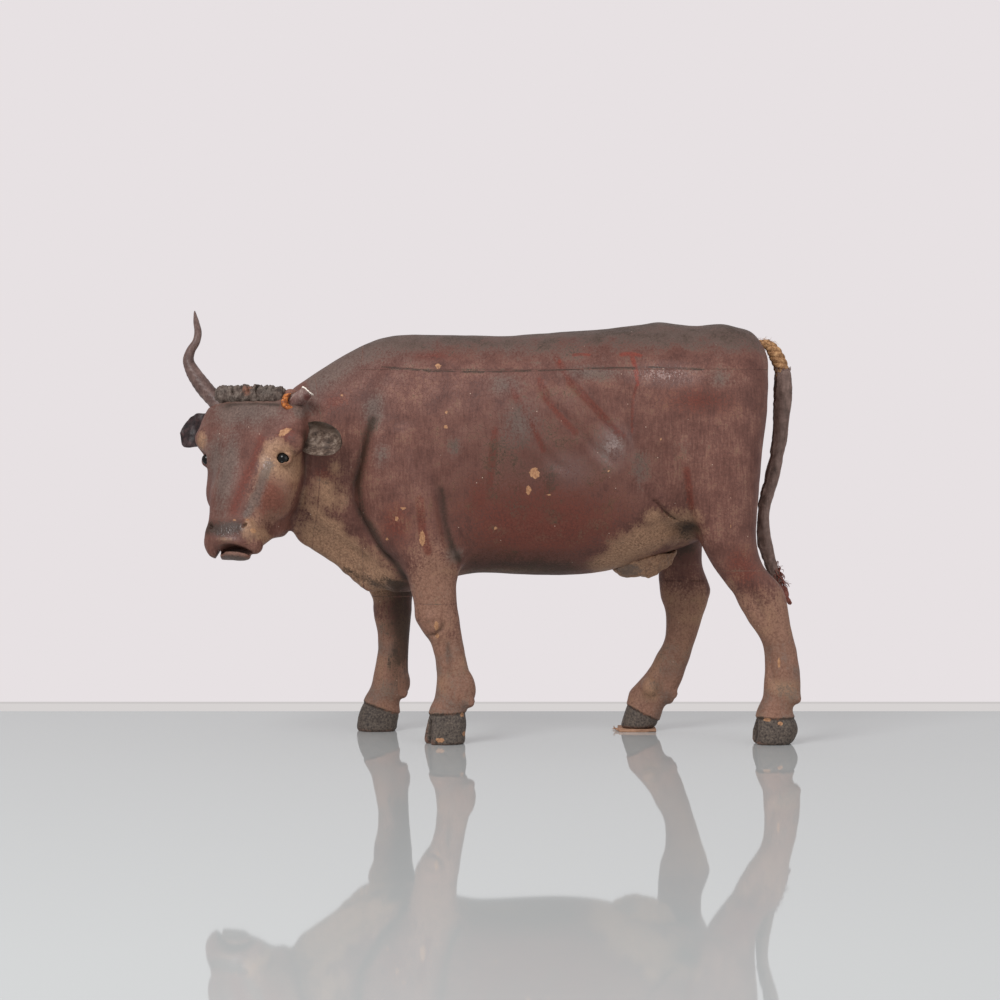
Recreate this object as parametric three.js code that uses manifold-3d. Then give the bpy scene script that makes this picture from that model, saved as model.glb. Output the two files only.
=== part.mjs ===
// A carved and painted wooden bull, a folk sculpture of the kind that stands in a nativity scene.
// It is built up from glued blocks: a trunk closed by a back board, a neck, a head turned to the
// bull's left and four legs, held by hidden dowels. Glass eyes, leather ears, two pegged horns
// (one whole, one snapped off), a curled poll strip and a rope tail in a leather sleeve are let in.
// Millimetres, +Z up. The bull faces -X, and its left flank faces -Y.
import * as THREE from "three";
import { mergeVertices } from "three/addons/utils/BufferGeometryUtils.js";
import Module from "manifold-3d";

const wasm = await Module();
wasm.setup();

// Driving dimensions of the whole figure
const BACK_HEIGHT = 236; // floor to the top of the back, over the ribs
const BELLY_HEIGHT = 94; // floor to the belly
const TRUNK_LENGTH = 236; // shoulder point to rump
const TRUNK_HALF_WIDTH = 49; // at the widest rib
const RUMP_X = 152; // the rear end of the trunk
const HIP_SETBACK = 2; // rump to the line that the hind legs are drawn from
const SHOULDER_SETBACK = 44; // shoulder point to the line that the forelegs are drawn from

// Joints between the blocks
const JOINT_GAP = 0.3; // glue line between two blocks
const FIT = 0.3; // clearance round everything that is let in
const BACK_BOARD_THICKNESS = 23; // crown of the back down to its glue line
const FORE_JOINT_DROP = 14; // foreleg glue line, below the belly
const HIND_JOINT_RISE = 5; // hind leg glue line, above the belly
const NECK_JOINT_AHEAD = 39; // neck glue line, ahead of the foreleg line
const HEAD_JOINT_TURN = 18; // degrees that the head's glue plane is turned from square
const HEAD_JOINT_BACK = 32; // head's glue plane, behind the poll
const LEG_DOWEL_RADIUS = 4;
const LEG_DOWEL_LENGTH = 28;
const NECK_DOWEL_RADIUS = 8;
const NECK_DOWEL_LENGTH = 46;
const HEAD_DOWEL_RADIUS = 6;
const HEAD_DOWEL_LENGTH = 34;
const BOARD_PEG_RADIUS = 3;
const BOARD_PEG_LENGTH = 26;
const BOARD_PEG_SPACING = 130; // between the two pegs of the back board

// Head: turned from straight ahead to its left, and tipped so that the nose comes forward
const HEAD_TURN = 62; // degrees
const HEAD_TIP = 18; // degrees off plumb
const HEAD_LENGTH = 96.5; // poll to lip
const BROW_HALF_WIDTH = 35;
const POLL_AHEAD = 98; // poll, ahead of the foreleg line
const POLL_DROP = 38; // poll, below the top of the back
const POLL_SIDE = 18; // poll, to the left of the middle plane
const EYE_RADIUS = 3.7;
const EYE_DROP = 39; // below the poll
const EYE_AHEAD = 5; // towards the face
const EYE_STAND_OUT = 1.4; // how far the glass stands out of the side of the head
const EAR_LENGTH = 23.5;
const EAR_HALF_WIDTH = 9.6;
const EAR_THICKNESS = 2.2;
const EAR_DROP = 21.5; // left ear's root, below the poll
const RIGHT_EAR_RISE = 4; // the right ear sits higher than the left
const EAR_BEHIND = 7; // behind the poll
const EAR_SEAT_DEPTH = 4; // how far an ear goes into its slot
const HORN_BASE_RADIUS = 3.7;
const HORN_TIP_RADIUS = 0.8;
const HORN_HEIGHT = 50; // base to tip
const HORN_PEG_RADIUS = 1.6;
const HORN_PEG_LENGTH = 12;
const STUB_LENGTH = 11; // what is left of the broken horn
const TUFT_RADIUS = 5.8;
const TUFT_SPREAD = 42; // length of the curled strip between the horns
const TUFT_OFFSET = 2.5; // its middle, towards the whole horn
const MOUTH_WIDTH = 24;
const MOUTH_HEIGHT = 5;
const MOUTH_DEPTH = 11;
const NOSTRIL_RADIUS = 2.6;
const NOSTRIL_SPREAD = 22;
const MUZZLE_OFFSET = 2.5; // mouth and nostrils are carved a little to the head's left

// Tail: a rope let into the rump, with a leather sleeve over it and a hair tuft in the sleeve's end
const ROPE_RADIUS = 2.8;
const ROPE_END_RADIUS = 1.5;
const ROPE_SEAT_DEPTH = 15;
const ROPE_DROP = 8; // root of the tail, below the top of the back
const ROPE_INSET = 2; // root of the tail, ahead of the rump's end
const TAIL_LENGTH = 140; // root down to the end of the sleeve
const SLEEVE_RADIUS = 4.9;
const SLEEVE_END_RADIUS = 2.7;
const SLEEVE_START = 0.24; // share of the tail that is bare rope
const SLEEVE_BORE_SPARE = 0.3; // leather to rope
const TUFT_STEM = 0.06; // share of the tail that the tuft's stem fills, inside the sleeve
const TUFT_HANG = 12; // tuft below the sleeve

// Hooves
const CLEFT_WIDTH = 2.2;
const CLEFT_HEIGHT = 12;
const CLEFT_REACH = 13; // from the toe backwards
const DEWCLAW_RADIUS = 2.9;
const DEWCLAW_SPREAD = 8;
const SLIP_THICKNESS = 1.6; // slip of the lost base, under the right hind hoof
const SLIP_MARGIN = 1.4;

// Groin pouch, under the belly between the thighs
const POUCH_LENGTH = 36;
const POUCH_HALF_WIDTH = 15;
const POUCH_HANG = 10; // below the belly line above it
const POUCH_AHEAD = 65; // its middle, ahead of the hip line

// Fineness of the surfaces
const TRUNK_SIDES = 28;
const TRUNK_RINGS = 21;
const LEG_SIDES = 14;
const NECK_SIDES = 24;
const NECK_RINGS = 12;
const HEAD_SIDES = 22;
const HEAD_RINGS = 17;

// Places that follow from the sizes
const HIP_X = RUMP_X - HIP_SETBACK;
const SHOULDER_X = RUMP_X - TRUNK_LENGTH + SHOULDER_SETBACK;
const BOARD_JOINT_Z = BACK_HEIGHT - BACK_BOARD_THICKNESS;
const FORE_JOINT_Z = BELLY_HEIGHT - FORE_JOINT_DROP;
const HIND_JOINT_Z = BELLY_HEIGHT + HIND_JOINT_RISE;
const NECK_JOINT_X = SHOULDER_X - NECK_JOINT_AHEAD;
const TAIL_ROOT = new THREE.Vector3(RUMP_X - ROPE_INSET, 0, BACK_HEIGHT - ROPE_DROP);
const LEFT = -1; // a side of the figure, as a sign on Y
const RIGHT = 1;
const FAR = 600; // larger than the figure, for the solids that only cut

const ALONG = new THREE.Vector3(1, 0, 0);
const UP = new THREE.Vector3(0, 0, 1);
const rad = THREE.MathUtils.degToRad;

// A height on the figure: 0 is the floor, 1 the belly and 2 the top of the back.
function level(share) {
  if (share <= 1) return share * BELLY_HEIGHT;
  return BELLY_HEIGHT + (share - 1) * (BACK_HEIGHT - BELLY_HEIGHT);
}

function signedVolume(points, triangles) {
  const cross = new THREE.Vector3();
  let volume = 0;
  for (let i = 0; i < triangles.length; i += 3) {
    cross.crossVectors(points[triangles[i + 1]], points[triangles[i + 2]]);
    volume += points[triangles[i]].dot(cross) / 6;
  }
  return volume;
}

// Geometry through rings of points, closed by a fan at each end, with its faces pointing out.
function loft(rings) {
  const sides = rings[0].length;
  const points = rings.flat();
  const triangles = [];
  for (let r = 0; r + 1 < rings.length; r++) {
    for (let i = 0; i < sides; i++) {
      const a = r * sides + i;
      const b = r * sides + ((i + 1) % sides);
      triangles.push(a, b, a + sides, b, b + sides, a + sides);
    }
  }
  for (const start of [0, (rings.length - 1) * sides]) {
    const middle = new THREE.Vector3();
    for (let i = 0; i < sides; i++) middle.addScaledVector(points[start + i], 1 / sides);
    points.push(middle);
    for (let i = 0; i < sides; i++) {
      const a = start + i;
      const b = start + ((i + 1) % sides);
      triangles.push(...(start === 0 ? [points.length - 1, b, a] : [points.length - 1, a, b]));
    }
  }
  if (signedVolume(points, triangles) < 0) triangles.reverse();
  const geometry = new THREE.BufferGeometry().setFromPoints(points);
  geometry.setIndex(triangles);
  return geometry;
}

// A point of a superellipse: power 2 is an ellipse, and a higher power is squarer.
function superellipse(turn, power) {
  const c = Math.cos(turn);
  const s = Math.sin(turn);
  return [
    Math.sign(c) * Math.abs(c) ** (2 / power),
    Math.sign(s) * Math.abs(s) ** (2 / power),
  ];
}

function turns(count) {
  return Array.from({ length: count }, (_, i) => ((i + 0.5) / count) * 2 * Math.PI);
}

// A smooth curve through rows whose first value rises: a function from that value to the others.
function smooth(rows) {
  const curve = new THREE.CubicInterpolant(
    rows.map((row) => row[0]),
    rows.flatMap((row) => row.slice(1)),
    rows[0].length - 1,
  );
  return (at) => [...curve.evaluate(at)];
}

// Those rows made into `count` evenly spaced ones.
function smoothRows(rows, count) {
  const at = smooth(rows);
  const first = rows[0][0];
  const span = rows.at(-1)[0] - first;
  return Array.from({ length: count }, (_, i) => {
    const value = first + (span * i) / (count - 1);
    return [value, ...at(value)];
  });
}

// Round rings along a stretch of a curve, square to it. radiusAt takes the share of the curve.
function sweep(curve, radiusAt, { from = 0, to = 1, steps = 12, sides = 10 } = {}) {
  const fineness = 240;
  const { normals, binormals } = curve.computeFrenetFrames(fineness, false);
  const rings = [];
  for (let i = 0; i <= steps; i++) {
    const share = from + ((to - from) * i) / steps;
    const frame = Math.round(share * fineness);
    const middle = curve.getPointAt(share);
    const radius = radiusAt(share);
    rings.push(
      turns(sides).map((turn) =>
        middle
          .clone()
          .addScaledVector(normals[frame], radius * Math.cos(turn))
          .addScaledVector(binormals[frame], radius * Math.sin(turn)),
      ),
    );
  }
  return loft(rings);
}

// The same shape as a solid for cutting and joining, and back to geometry.
function solidOf(geometry) {
  const bare = geometry.clone();
  bare.deleteAttribute("normal");
  bare.deleteAttribute("uv");
  const merged = mergeVertices(bare, 1e-4);
  return new wasm.Manifold(
    new wasm.Mesh({
      numProp: 3,
      vertProperties: merged.attributes.position.array,
      triVerts: new Uint32Array(merged.index.array),
    }),
  );
}

function geometryOf(solid) {
  const mesh = solid.getMesh();
  const geometry = new THREE.BufferGeometry();
  geometry.setAttribute("position", new THREE.BufferAttribute(mesh.vertProperties, 3));
  geometry.setIndex(new THREE.BufferAttribute(mesh.triVerts, 1));
  geometry.computeVertexNormals();
  return geometry;
}

// A copy of a solid, moved by a matrix.
function placed(solid, matrix) {
  return solidOf(geometryOf(solid).applyMatrix4(matrix));
}

function joined(solids) {
  return solids.reduce((whole, solid) => whole.add(solid));
}

function cutBy(solid, tools) {
  return tools.reduce((left, tool) => left.subtract(tool), solid);
}

function box(low, high) {
  const size = high.map((value, k) => value - low[k]);
  const geometry = new THREE.BoxGeometry(...size);
  geometry.translate(...low.map((value, k) => value + size[k] / 2));
  return solidOf(geometry);
}

// A round rod centred at a point, along a direction.
function rod(middle, along, radius, length) {
  const geometry = new THREE.CylinderGeometry(radius, radius, length, 16);
  const turn = new THREE.Quaternion();
  turn.setFromUnitVectors(new THREE.Vector3(0, 1, 0), along.clone().normalize());
  geometry.applyQuaternion(turn);
  geometry.translate(middle.x, middle.y, middle.z);
  return solidOf(geometry);
}

// A dowel, and the hole drilled for it in the two pieces that it holds together.
function dowel(middle, along, radius, length) {
  return {
    pin: rod(middle, along, radius, length),
    hole: rod(middle, along, radius + FIT, length + 2 * FIT),
  };
}

// Trunk. Rows: share of its length, top (above the back height), bottom (above the belly height)
// and half width, as a share of the widest rib.
const TRUNK_ROWS = [
  [0, -15, 8, 0.44],
  [0.034, -10, -2, 0.63],
  [0.1, -4, -10, 0.75],
  [0.186, -2.3, -5, 0.83],
  [0.284, -2.8, 1.5, 0.89],
  [0.407, -2.8, 0.8, 0.96],
  [0.504, -1, 0.4, 1],
  [0.602, 0.6, 2, 0.99],
  [0.699, 3, 8, 0.94],
  [0.763, 4, 13, 0.9],
  [0.847, 2.4, 20, 0.88],
  [0.919, 3, 32, 0.86],
  [0.97, -2, 48, 0.8],
  [1, -8.5, 62, 0.68],
];
const TRUNK_WAIST = 0.47; // where a section is widest, up from its bottom
const TRUNK_SQUARENESS = 2.35;
const RUMP_ROUNDING = 2.5; // the rounded end stands out by this
const RUMP_LEAN = 0.07; // the rump slopes in downwards

function trunkSection(x, [top, bottom, width], shrink = 1, lean = 0) {
  const high = BACK_HEIGHT + top;
  const low = BELLY_HEIGHT + bottom;
  const waist = low + TRUNK_WAIST * (high - low);
  return turns(TRUNK_SIDES).map((turn) => {
    const [y, z] = superellipse(turn, TRUNK_SQUARENESS);
    const reach = z > 0 ? high - waist : waist - low;
    const height = waist + reach * shrink * z;
    return new THREE.Vector3(
      x - lean * (high - height), TRUNK_HALF_WIDTH * width * shrink * y, height);
  });
}

function trunkForm() {
  const rings = smoothRows(TRUNK_ROWS, TRUNK_RINGS).map(([share, ...section]) =>
    trunkSection(RUMP_X - (1 - share) * TRUNK_LENGTH, section),
  );
  const end = TRUNK_ROWS.at(-1).slice(1);
  rings.splice(-1, 1, trunkSection(RUMP_X, end, 1, RUMP_LEAN));
  return solidOf(loft([...rings, trunkSection(RUMP_X + RUMP_ROUNDING, end, 0.86, RUMP_LEAN)]));
}

// Legs. Rows: level, front and rear edge (behind the hip or shoulder line), half width, and how
// far the middle is from the middle plane. Above level 1 they are the thigh and the shoulder.
const LEFT_HIND_ROWS = [
  [0, -4.8, 14, 8.8, 32],
  [0.02, -6.3, 16.6, 9.4, 32],
  [0.075, -6.9, 18.9, 9.8, 32],
  [0.14, -4.8, 18.1, 9.2, 32],
  [0.2, -3.5, 15.9, 8, 32],
  [0.25, -1.5, 17, 7.4, 32],
  [0.29, 0.4, 20.3, 7.6, 32],
  [0.37, 0.7, 20.5, 7.2, 32],
  [0.46, 1.1, 19.4, 6.8, 32],
  [0.54, 0.9, 18.1, 6.6, 32],
  [0.6, 0, 16.8, 6.8, 32],
  [0.65, -2.2, 15.8, 7.2, 32],
  [0.74, -9.3, 14.2, 8, 31.5],
  [0.79, -12, 13.7, 8.4, 31.5],
  [0.865, -15.3, 12.8, 9, 31],
  [0.925, -17.8, 11.1, 9.8, 31],
  [0.98, -22, 8, 10.8, 31],
  [1.045, -29.3, 0.4, 12.8, 30.5],
  [1.134, -36.4, -4, 15, 30],
  [1.218, -42, -4, 16.8, 29],
  [1.324, -46, -2.4, 18, 28],
  [1.5, -50, -0.6, 18.5, 27],
  [1.711, -46, 1, 16, 26],
  [1.852, -37, -1, 11, 24],
  [1.93, -28, -7, 5, 22],
];
const RIGHT_HIND_ROWS = [
  [0, -78.8, -60, 9, 33],
  [0.05, -78.2, -56, 9.6, 33],
  [0.11, -76.4, -53.9, 9.2, 33],
  [0.15, -75, -53, 8.6, 33],
  [0.19, -74, -48.8, 8, 33],
  [0.245, -73, -45.4, 7.8, 33],
  [0.29, -68.6, -43.4, 7.5, 33],
  [0.34, -64.4, -41.7, 7.2, 33],
  [0.4, -60, -40.4, 7, 33],
  [0.475, -56.8, -38.3, 6.8, 33],
  [0.535, -53.2, -36.8, 6.8, 33],
  [0.59, -51.4, -34.7, 7, 32.5],
  [0.66, -51, -32.5, 7.2, 32.5],
  [0.73, -51.1, -30.8, 7.8, 32],
  [0.785, -52.3, -28.9, 8.2, 32],
  [0.835, -54.4, -27.7, 8.6, 31.5],
  [0.885, -54.9, -26.2, 9, 31.5],
  [0.95, -55.4, -28, 10.2, 31],
  [1.05, -57, -30.4, 12.6, 30.5],
  [1.13, -58, -30, 14.6, 30],
  [1.218, -58, -22, 16.4, 29],
  [1.324, -56, -12, 18, 28],
  [1.5, -51, -4, 18.5, 27],
  [1.711, -46, -1, 16, 26],
  [1.852, -37, -2, 11, 24],
  [1.93, -28, -8, 5, 22],
];
const LEFT_FORE_ROWS = [
  [0, -2.3, 19.4, 9.2, 31],
  [0.05, -2.4, 20.5, 9.6, 31],
  [0.11, -1, 21.4, 9.2, 31],
  [0.185, -0.4, 20.6, 8.2, 31],
  [0.225, 0.6, 20.8, 7.6, 31],
  [0.265, 3, 24.8, 7.8, 31],
  [0.32, 3.8, 24.9, 7.8, 31],
  [0.415, 4.6, 22.7, 7.2, 31],
  [0.53, 3.1, 20.1, 7, 31],
  [0.62, 0.9, 18.6, 7.4, 31],
  [0.685, -4, 17.6, 8.6, 31],
  [0.76, -8.2, 16.5, 9.6, 31],
  [0.87, -9.2, 15.4, 9.6, 31],
  [0.96, -11.6, 15, 10.4, 30.5],
  [1.07, -17, 19, 12.5, 30],
  [1.218, -27, 25, 14, 29.5],
  [1.394, -36, 27, 13.4, 29.5],
  [1.6, -38, 22, 11, 28.5],
  [1.78, -31, 10, 7.5, 26],
  [1.9, -20, 0, 3, 23],
];
const RIGHT_FORE_ROWS = [
  [0, -43.6, -22, 9, 31],
  [0.04, -44.3, -21, 9.6, 31],
  [0.08, -43.6, -19.6, 9.6, 31],
  [0.125, -42.2, -19.6, 9, 31],
  [0.175, -40.4, -20.4, 8.2, 31],
  [0.21, -39.6, -19, 7.8, 31],
  [0.25, -37.5, -15.4, 7.8, 31],
  [0.29, -36, -14.2, 7.8, 31],
  [0.35, -34.9, -14.6, 7.4, 31],
  [0.43, -33.3, -14.9, 7, 31],
  [0.51, -32.2, -14.5, 7, 31],
  [0.59, -31.9, -14.1, 7.2, 31],
  [0.64, -32.4, -13.6, 7.8, 31],
  [0.71, -34.2, -13.2, 8.8, 31],
  [0.78, -35.2, -12.6, 9.4, 31],
  [0.86, -34.6, -11.8, 9.6, 31],
  [0.96, -34.6, -9, 10.4, 30.5],
  [1.07, -34, -3, 12.5, 30],
  [1.218, -34, 10, 14, 29.5],
  [1.394, -37, 24, 13.4, 29.5],
  [1.6, -38, 22, 11, 28.5],
  [1.78, -31, 10, 7.5, 26],
  [1.9, -20, 0, 3, 23],
];
const LEG_SQUARENESS = 2.3;
const SOLE_LIFT = SLIP_THICKNESS + FIT; // the hoof on the slip is this much higher

const legs = {
  left_foreleg: { rows: LEFT_FORE_ROWS, line: SHOULDER_X, side: LEFT, joint: FORE_JOINT_Z },
  right_foreleg: { rows: RIGHT_FORE_ROWS, line: SHOULDER_X, side: RIGHT, joint: FORE_JOINT_Z },
  left_hind_leg: { rows: LEFT_HIND_ROWS, line: HIP_X, side: LEFT, joint: HIND_JOINT_Z },
  right_hind_leg: {
    rows: RIGHT_HIND_ROWS, line: HIP_X, side: RIGHT, joint: HIND_JOINT_Z, sole: SOLE_LIFT,
  },
};

function legForm({ rows, line, side }) {
  const rings = rows.map(([share, front, rear, half, middle]) =>
    turns(LEG_SIDES).map((turn) => {
      const [along, across] = superellipse(turn, LEG_SQUARENESS);
      const x = line + (front + rear) / 2 + ((rear - front) / 2) * along;
      return new THREE.Vector3(x, side * middle + half * across, level(share));
    }),
  );
  return solidOf(loft(rings));
}

// The middle of a leg's section at a height.
function legMiddle({ rows, line, side }, z) {
  const [front, rear, , middle] = smooth(rows.map(([share, ...rest]) => [level(share), ...rest]))(z);
  return new THREE.Vector3(line + (front + rear) / 2, side * middle, z);
}

function legDowel(leg) {
  const along = legMiddle(leg, leg.joint + LEG_DOWEL_LENGTH / 2);
  along.sub(legMiddle(leg, leg.joint - LEG_DOWEL_LENGTH / 2));
  return dowel(legMiddle(leg, leg.joint), along, LEG_DOWEL_RADIUS, LEG_DOWEL_LENGTH);
}

// The two claws of a hoof are parted by a cut from the toe.
function cleft({ rows, line, side }) {
  const [, front, , , middle] = rows[0];
  return box(
    [line + front - CLEFT_REACH, side * middle - CLEFT_WIDTH / 2, -FAR],
    [line + front + CLEFT_REACH, side * middle + CLEFT_WIDTH / 2, CLEFT_HEIGHT],
  );
}

// Dewclaws: two small points behind the fetlock, where the leg is deepest.
function dewclaws({ rows, line, side }) {
  const [share, , rear, , middle] = rows
    .filter((row) => row[0] > 0.2 && row[0] < 0.45)
    .reduce((best, row) => (row[2] - row[1] > best[2] - best[1] ? row : best));
  return [-1, 1].map((across) => {
    const claw = new THREE.SphereGeometry(DEWCLAW_RADIUS, 8, 6);
    claw.translate(
      line + rear - DEWCLAW_RADIUS * 0.6,
      side * middle + (across * DEWCLAW_SPREAD) / 2,
      level(share) - DEWCLAW_RADIUS / 2,
    );
    return solidOf(claw);
  });
}

// The lower block of a leg, from its sole up to its glue line.
function legBlock(leg) {
  const whole = joined([legForm(leg), ...dewclaws(leg)]);
  const below = box([-FAR, -FAR, leg.sole ?? 0], [FAR, FAR, leg.joint - JOINT_GAP]);
  return cutBy(whole.intersect(below), [cleft(leg), legDowel(leg).hole]);
}

// The thigh or shoulder above it, which is carved on the trunk.
function shoulderForm(leg) {
  return legForm(leg).intersect(box([-FAR, -FAR, leg.joint], [FAR, FAR, FAR]));
}

// The slip of wood that is still glued under one hoof.
function slipForm({ rows, line, side }) {
  const [, front, rear, half, middle] = rows[1];
  return box(
    [line + front - SLIP_MARGIN, side * middle - half - SLIP_MARGIN, 0],
    [line + rear + SLIP_MARGIN, side * middle + half + SLIP_MARGIN, SLIP_THICKNESS],
  );
}

// The head is drawn upright and facing -Y, with its poll at the origin, and then placed.
const headPlace = new THREE.Group();
headPlace.position.set(SHOULDER_X - POLL_AHEAD, -POLL_SIDE, BACK_HEIGHT - POLL_DROP);
headPlace.rotation.set(rad(-HEAD_TIP), 0, rad(HEAD_TURN - 90), "ZXY");
headPlace.updateMatrixWorld(true);

// Rows: share of the head's length down from the poll, half width (share of the brow's), face
// (ahead of the poll), back of the head (behind it), squareness of the face, and the share by which
// the back of the head is narrower than the face.
const HEAD_ROWS = [
  [-0.03, 0.66, 3, 12, 2.4, 0.1],
  [0.02, 0.82, 6.5, 18, 2.6, 0.12],
  [0.12, 0.95, 9.5, 24, 2.8, 0.18],
  [0.24, 1, 11.5, 28, 3, 0.2],
  [0.34, 0.94, 12.5, 31, 3, 0.15],
  [0.42, 0.84, 12.6, 35, 3, 0.02],
  [0.52, 0.71, 12.4, 39, 2.8, -0.22],
  [0.64, 0.59, 12, 39, 2.6, -0.38],
  [0.75, 0.52, 11.4, 35, 2.5, -0.36],
  [0.84, 0.52, 11.4, 26, 2.6, -0.12],
  [0.92, 0.52, 11.4, 15, 2.7, 0],
  [0.97, 0.45, 9.4, 9, 2.5, 0],
  [1, 0.37, 6.4, 5, 2.4, 0],
];
const NAPE_SQUARENESS = 2.8; // of the back of the head

const headRow = smooth(HEAD_ROWS);

// Half the head's width, at a depth below the poll and a distance behind it.
function headHalfWidth(drop, behind) {
  const [width, face, back, squareness, taper] = headRow(drop / HEAD_LENGTH);
  const y = behind > 0 ? behind / back : -behind / face;
  const power = behind > 0 ? NAPE_SQUARENESS : squareness;
  const round = Math.max(1 - y ** power, 0) ** (1 / power);
  return BROW_HALF_WIDTH * width * round * (behind > 0 ? 1 - taper * y * y : 1);
}

function headForm() {
  const rings = smoothRows(HEAD_ROWS, HEAD_RINGS).map(([share, , face, back, squareness]) =>
    turns(HEAD_SIDES).map((turn) => {
      const behind = Math.sin(turn) > 0;
      const y = superellipse(turn, behind ? NAPE_SQUARENESS : squareness)[1] * (behind ? back : face);
      const half = headHalfWidth(share * HEAD_LENGTH, y);
      return new THREE.Vector3(Math.sign(Math.cos(turn)) * half, y, -share * HEAD_LENGTH);
    }),
  );
  return placed(solidOf(loft(rings)), headPlace.matrixWorld);
}

// The open mouth: an arched slot between the upper lip and the jaw.
const MOUTH_LEVEL = 0.955;

function mouthForm() {
  const lip = -MOUTH_LEVEL * HEAD_LENGTH;
  const half = MOUTH_WIDTH / 2;
  const shape = new THREE.Shape();
  shape.moveTo(-half, lip - MOUTH_HEIGHT / 2);
  shape.quadraticCurveTo(0, lip + MOUTH_HEIGHT * 1.2, half, lip - MOUTH_HEIGHT / 2);
  shape.quadraticCurveTo(0, lip - MOUTH_HEIGHT * 0.8, -half, lip - MOUTH_HEIGHT / 2);
  const slot = new THREE.ExtrudeGeometry(shape, {
    depth: 2 * MOUTH_DEPTH, bevelEnabled: false, curveSegments: 8,
  });
  slot.rotateX(Math.PI / 2);
  slot.translate(MUZZLE_OFFSET, MOUTH_DEPTH - headRow(MOUTH_LEVEL)[1], 0);
  return placed(solidOf(slot), headPlace.matrixWorld);
}

const NOSTRIL_LEVEL = 0.865;

function nostrilForm(across) {
  const pit = new THREE.SphereGeometry(NOSTRIL_RADIUS, 8, 6);
  pit.scale(1.2, 1.6, 0.8);
  pit.translate(
    MUZZLE_OFFSET + (across * NOSTRIL_SPREAD) / 2,
    -headRow(NOSTRIL_LEVEL)[1],
    -NOSTRIL_LEVEL * HEAD_LENGTH,
  );
  return placed(solidOf(pit), headPlace.matrixWorld);
}

// In the head's own space its left is +X, so the sign of a side is the other way round there.
function eyeForm(side, grow) {
  const ball = new THREE.SphereGeometry(EYE_RADIUS + grow, 16, 10);
  const out = headHalfWidth(EYE_DROP, -EYE_AHEAD) - EYE_RADIUS + EYE_STAND_OUT;
  ball.translate(-side * out, -EYE_AHEAD, -EYE_DROP);
  return placed(solidOf(ball), headPlace.matrixWorld);
}

// Ears. Rows: share of the length from the root, half width as a share, and depth of the cup.
const EAR_ROWS = [
  [0, 0.42, 0.6],
  [0.14, 0.5, 1.2],
  [0.32, 0.88, 2.4],
  [0.54, 1, 2.8],
  [0.74, 0.9, 2.2],
  [0.9, 0.56, 1],
  [1, 0.2, 0.2],
];
const EAR_SIDES = 14;
const EAR_RINGS = 10;
const EAR_SWEEP_BACK = 2; // tip behind the root
const EAR_SAG = 3; // tip below the root

function earForm(side, grow) {
  const drop = side === RIGHT ? EAR_DROP - RIGHT_EAR_RISE : EAR_DROP;
  const root = headHalfWidth(drop, EAR_BEHIND) - EAR_SEAT_DEPTH;
  const rings = smoothRows(EAR_ROWS, EAR_RINGS).map(([share, width, cup]) =>
    turns(EAR_SIDES).map((turn) => {
      const [u, v] = superellipse(turn, 2);
      return new THREE.Vector3(
        -side * (root + share * (EAR_LENGTH + 2 * grow) - grow),
        EAR_BEHIND + EAR_SWEEP_BACK * share + (EAR_THICKNESS / 2 + grow) * v - cup * (u * u - 0.5),
        -drop - EAR_SAG * share + (EAR_HALF_WIDTH * width + grow) * u,
      );
    }),
  );
  return placed(solidOf(loft(rings)), headPlace.matrixWorld);
}

// Horns. Points: outwards from the side of the poll, ahead, and up, as shares of a horn's height.
const HORN_POINTS = [
  [-0.12, -0.02, -0.08],
  [0, 0, 0],
  [0.15, 0.06, 0.12],
  [0.28, 0.13, 0.27],
  [0.355, 0.18, 0.39],
  [0.345, 0.2, 0.51],
  [0.305, 0.2, 0.63],
  [0.315, 0.18, 0.75],
  [0.385, 0.14, 0.88],
  [0.465, 0.1, 1],
];
const STUB_POINTS = [
  [-0.45, -0.07, -0.2],
  [0, 0, 0],
  [0.42, 0.1, 0.22],
  [0.8, 0.25, 0.5],
];
const HORN_DROP = 3; // middle of a horn's root, below the poll
const HORN_AHEAD = 2;
const HORN_INSET = 1.5; // the root lies inside the head's edge
const STUB_TAPER = 0.12;

function hornCurve(side, points, size) {
  const root = headHalfWidth(HORN_DROP, -HORN_AHEAD) - HORN_INSET;
  return new THREE.CatmullRomCurve3(
    points.map(([out, ahead, up]) =>
      new THREE.Vector3(-side * (root + size * out), -HORN_AHEAD - size * ahead, size * up - HORN_DROP)
        .applyMatrix4(headPlace.matrixWorld),
    ),
  );
}

const wholeHornCurve = hornCurve(RIGHT, HORN_POINTS, HORN_HEIGHT);
const stubCurve = hornCurve(LEFT, STUB_POINTS, STUB_LENGTH);

function wholeHornForm(grow) {
  const radius = (share) =>
    THREE.MathUtils.lerp(HORN_BASE_RADIUS, HORN_TIP_RADIUS, share ** 1.6) + grow;
  return solidOf(sweep(wholeHornCurve, radius, { steps: 18, sides: 10 }));
}

// The stub ends in a slanted break.
function stubForm(grow) {
  const radius = (share) => HORN_BASE_RADIUS * (1 - STUB_TAPER * share) + grow;
  const stub = solidOf(sweep(stubCurve, radius, { steps: 6, sides: 12 }));
  const broken = new THREE.BoxGeometry(4 * HORN_BASE_RADIUS, FAR, 2 * HORN_BASE_RADIUS);
  broken.translate(0, 0, HORN_BASE_RADIUS);
  broken.rotateY(rad(30));
  broken.translate(...stubCurve.getPointAt(0.86).add(UP.clone().multiplyScalar(2)).toArray());
  return stub.subtract(solidOf(broken));
}

// A horn's peg lies along its first stretch, half in the horn and half in the head.
function hornPeg(curve) {
  return dowel(curve.getPointAt(0), curve.getTangentAt(0.02), HORN_PEG_RADIUS, HORN_PEG_LENGTH);
}

// A strip of curled hair across the poll: each curl is a swelling of the strip.
const CURLS = 6;
const CURL_DEPTH = 0.14;
const TUFT_AHEAD = 2;

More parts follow.
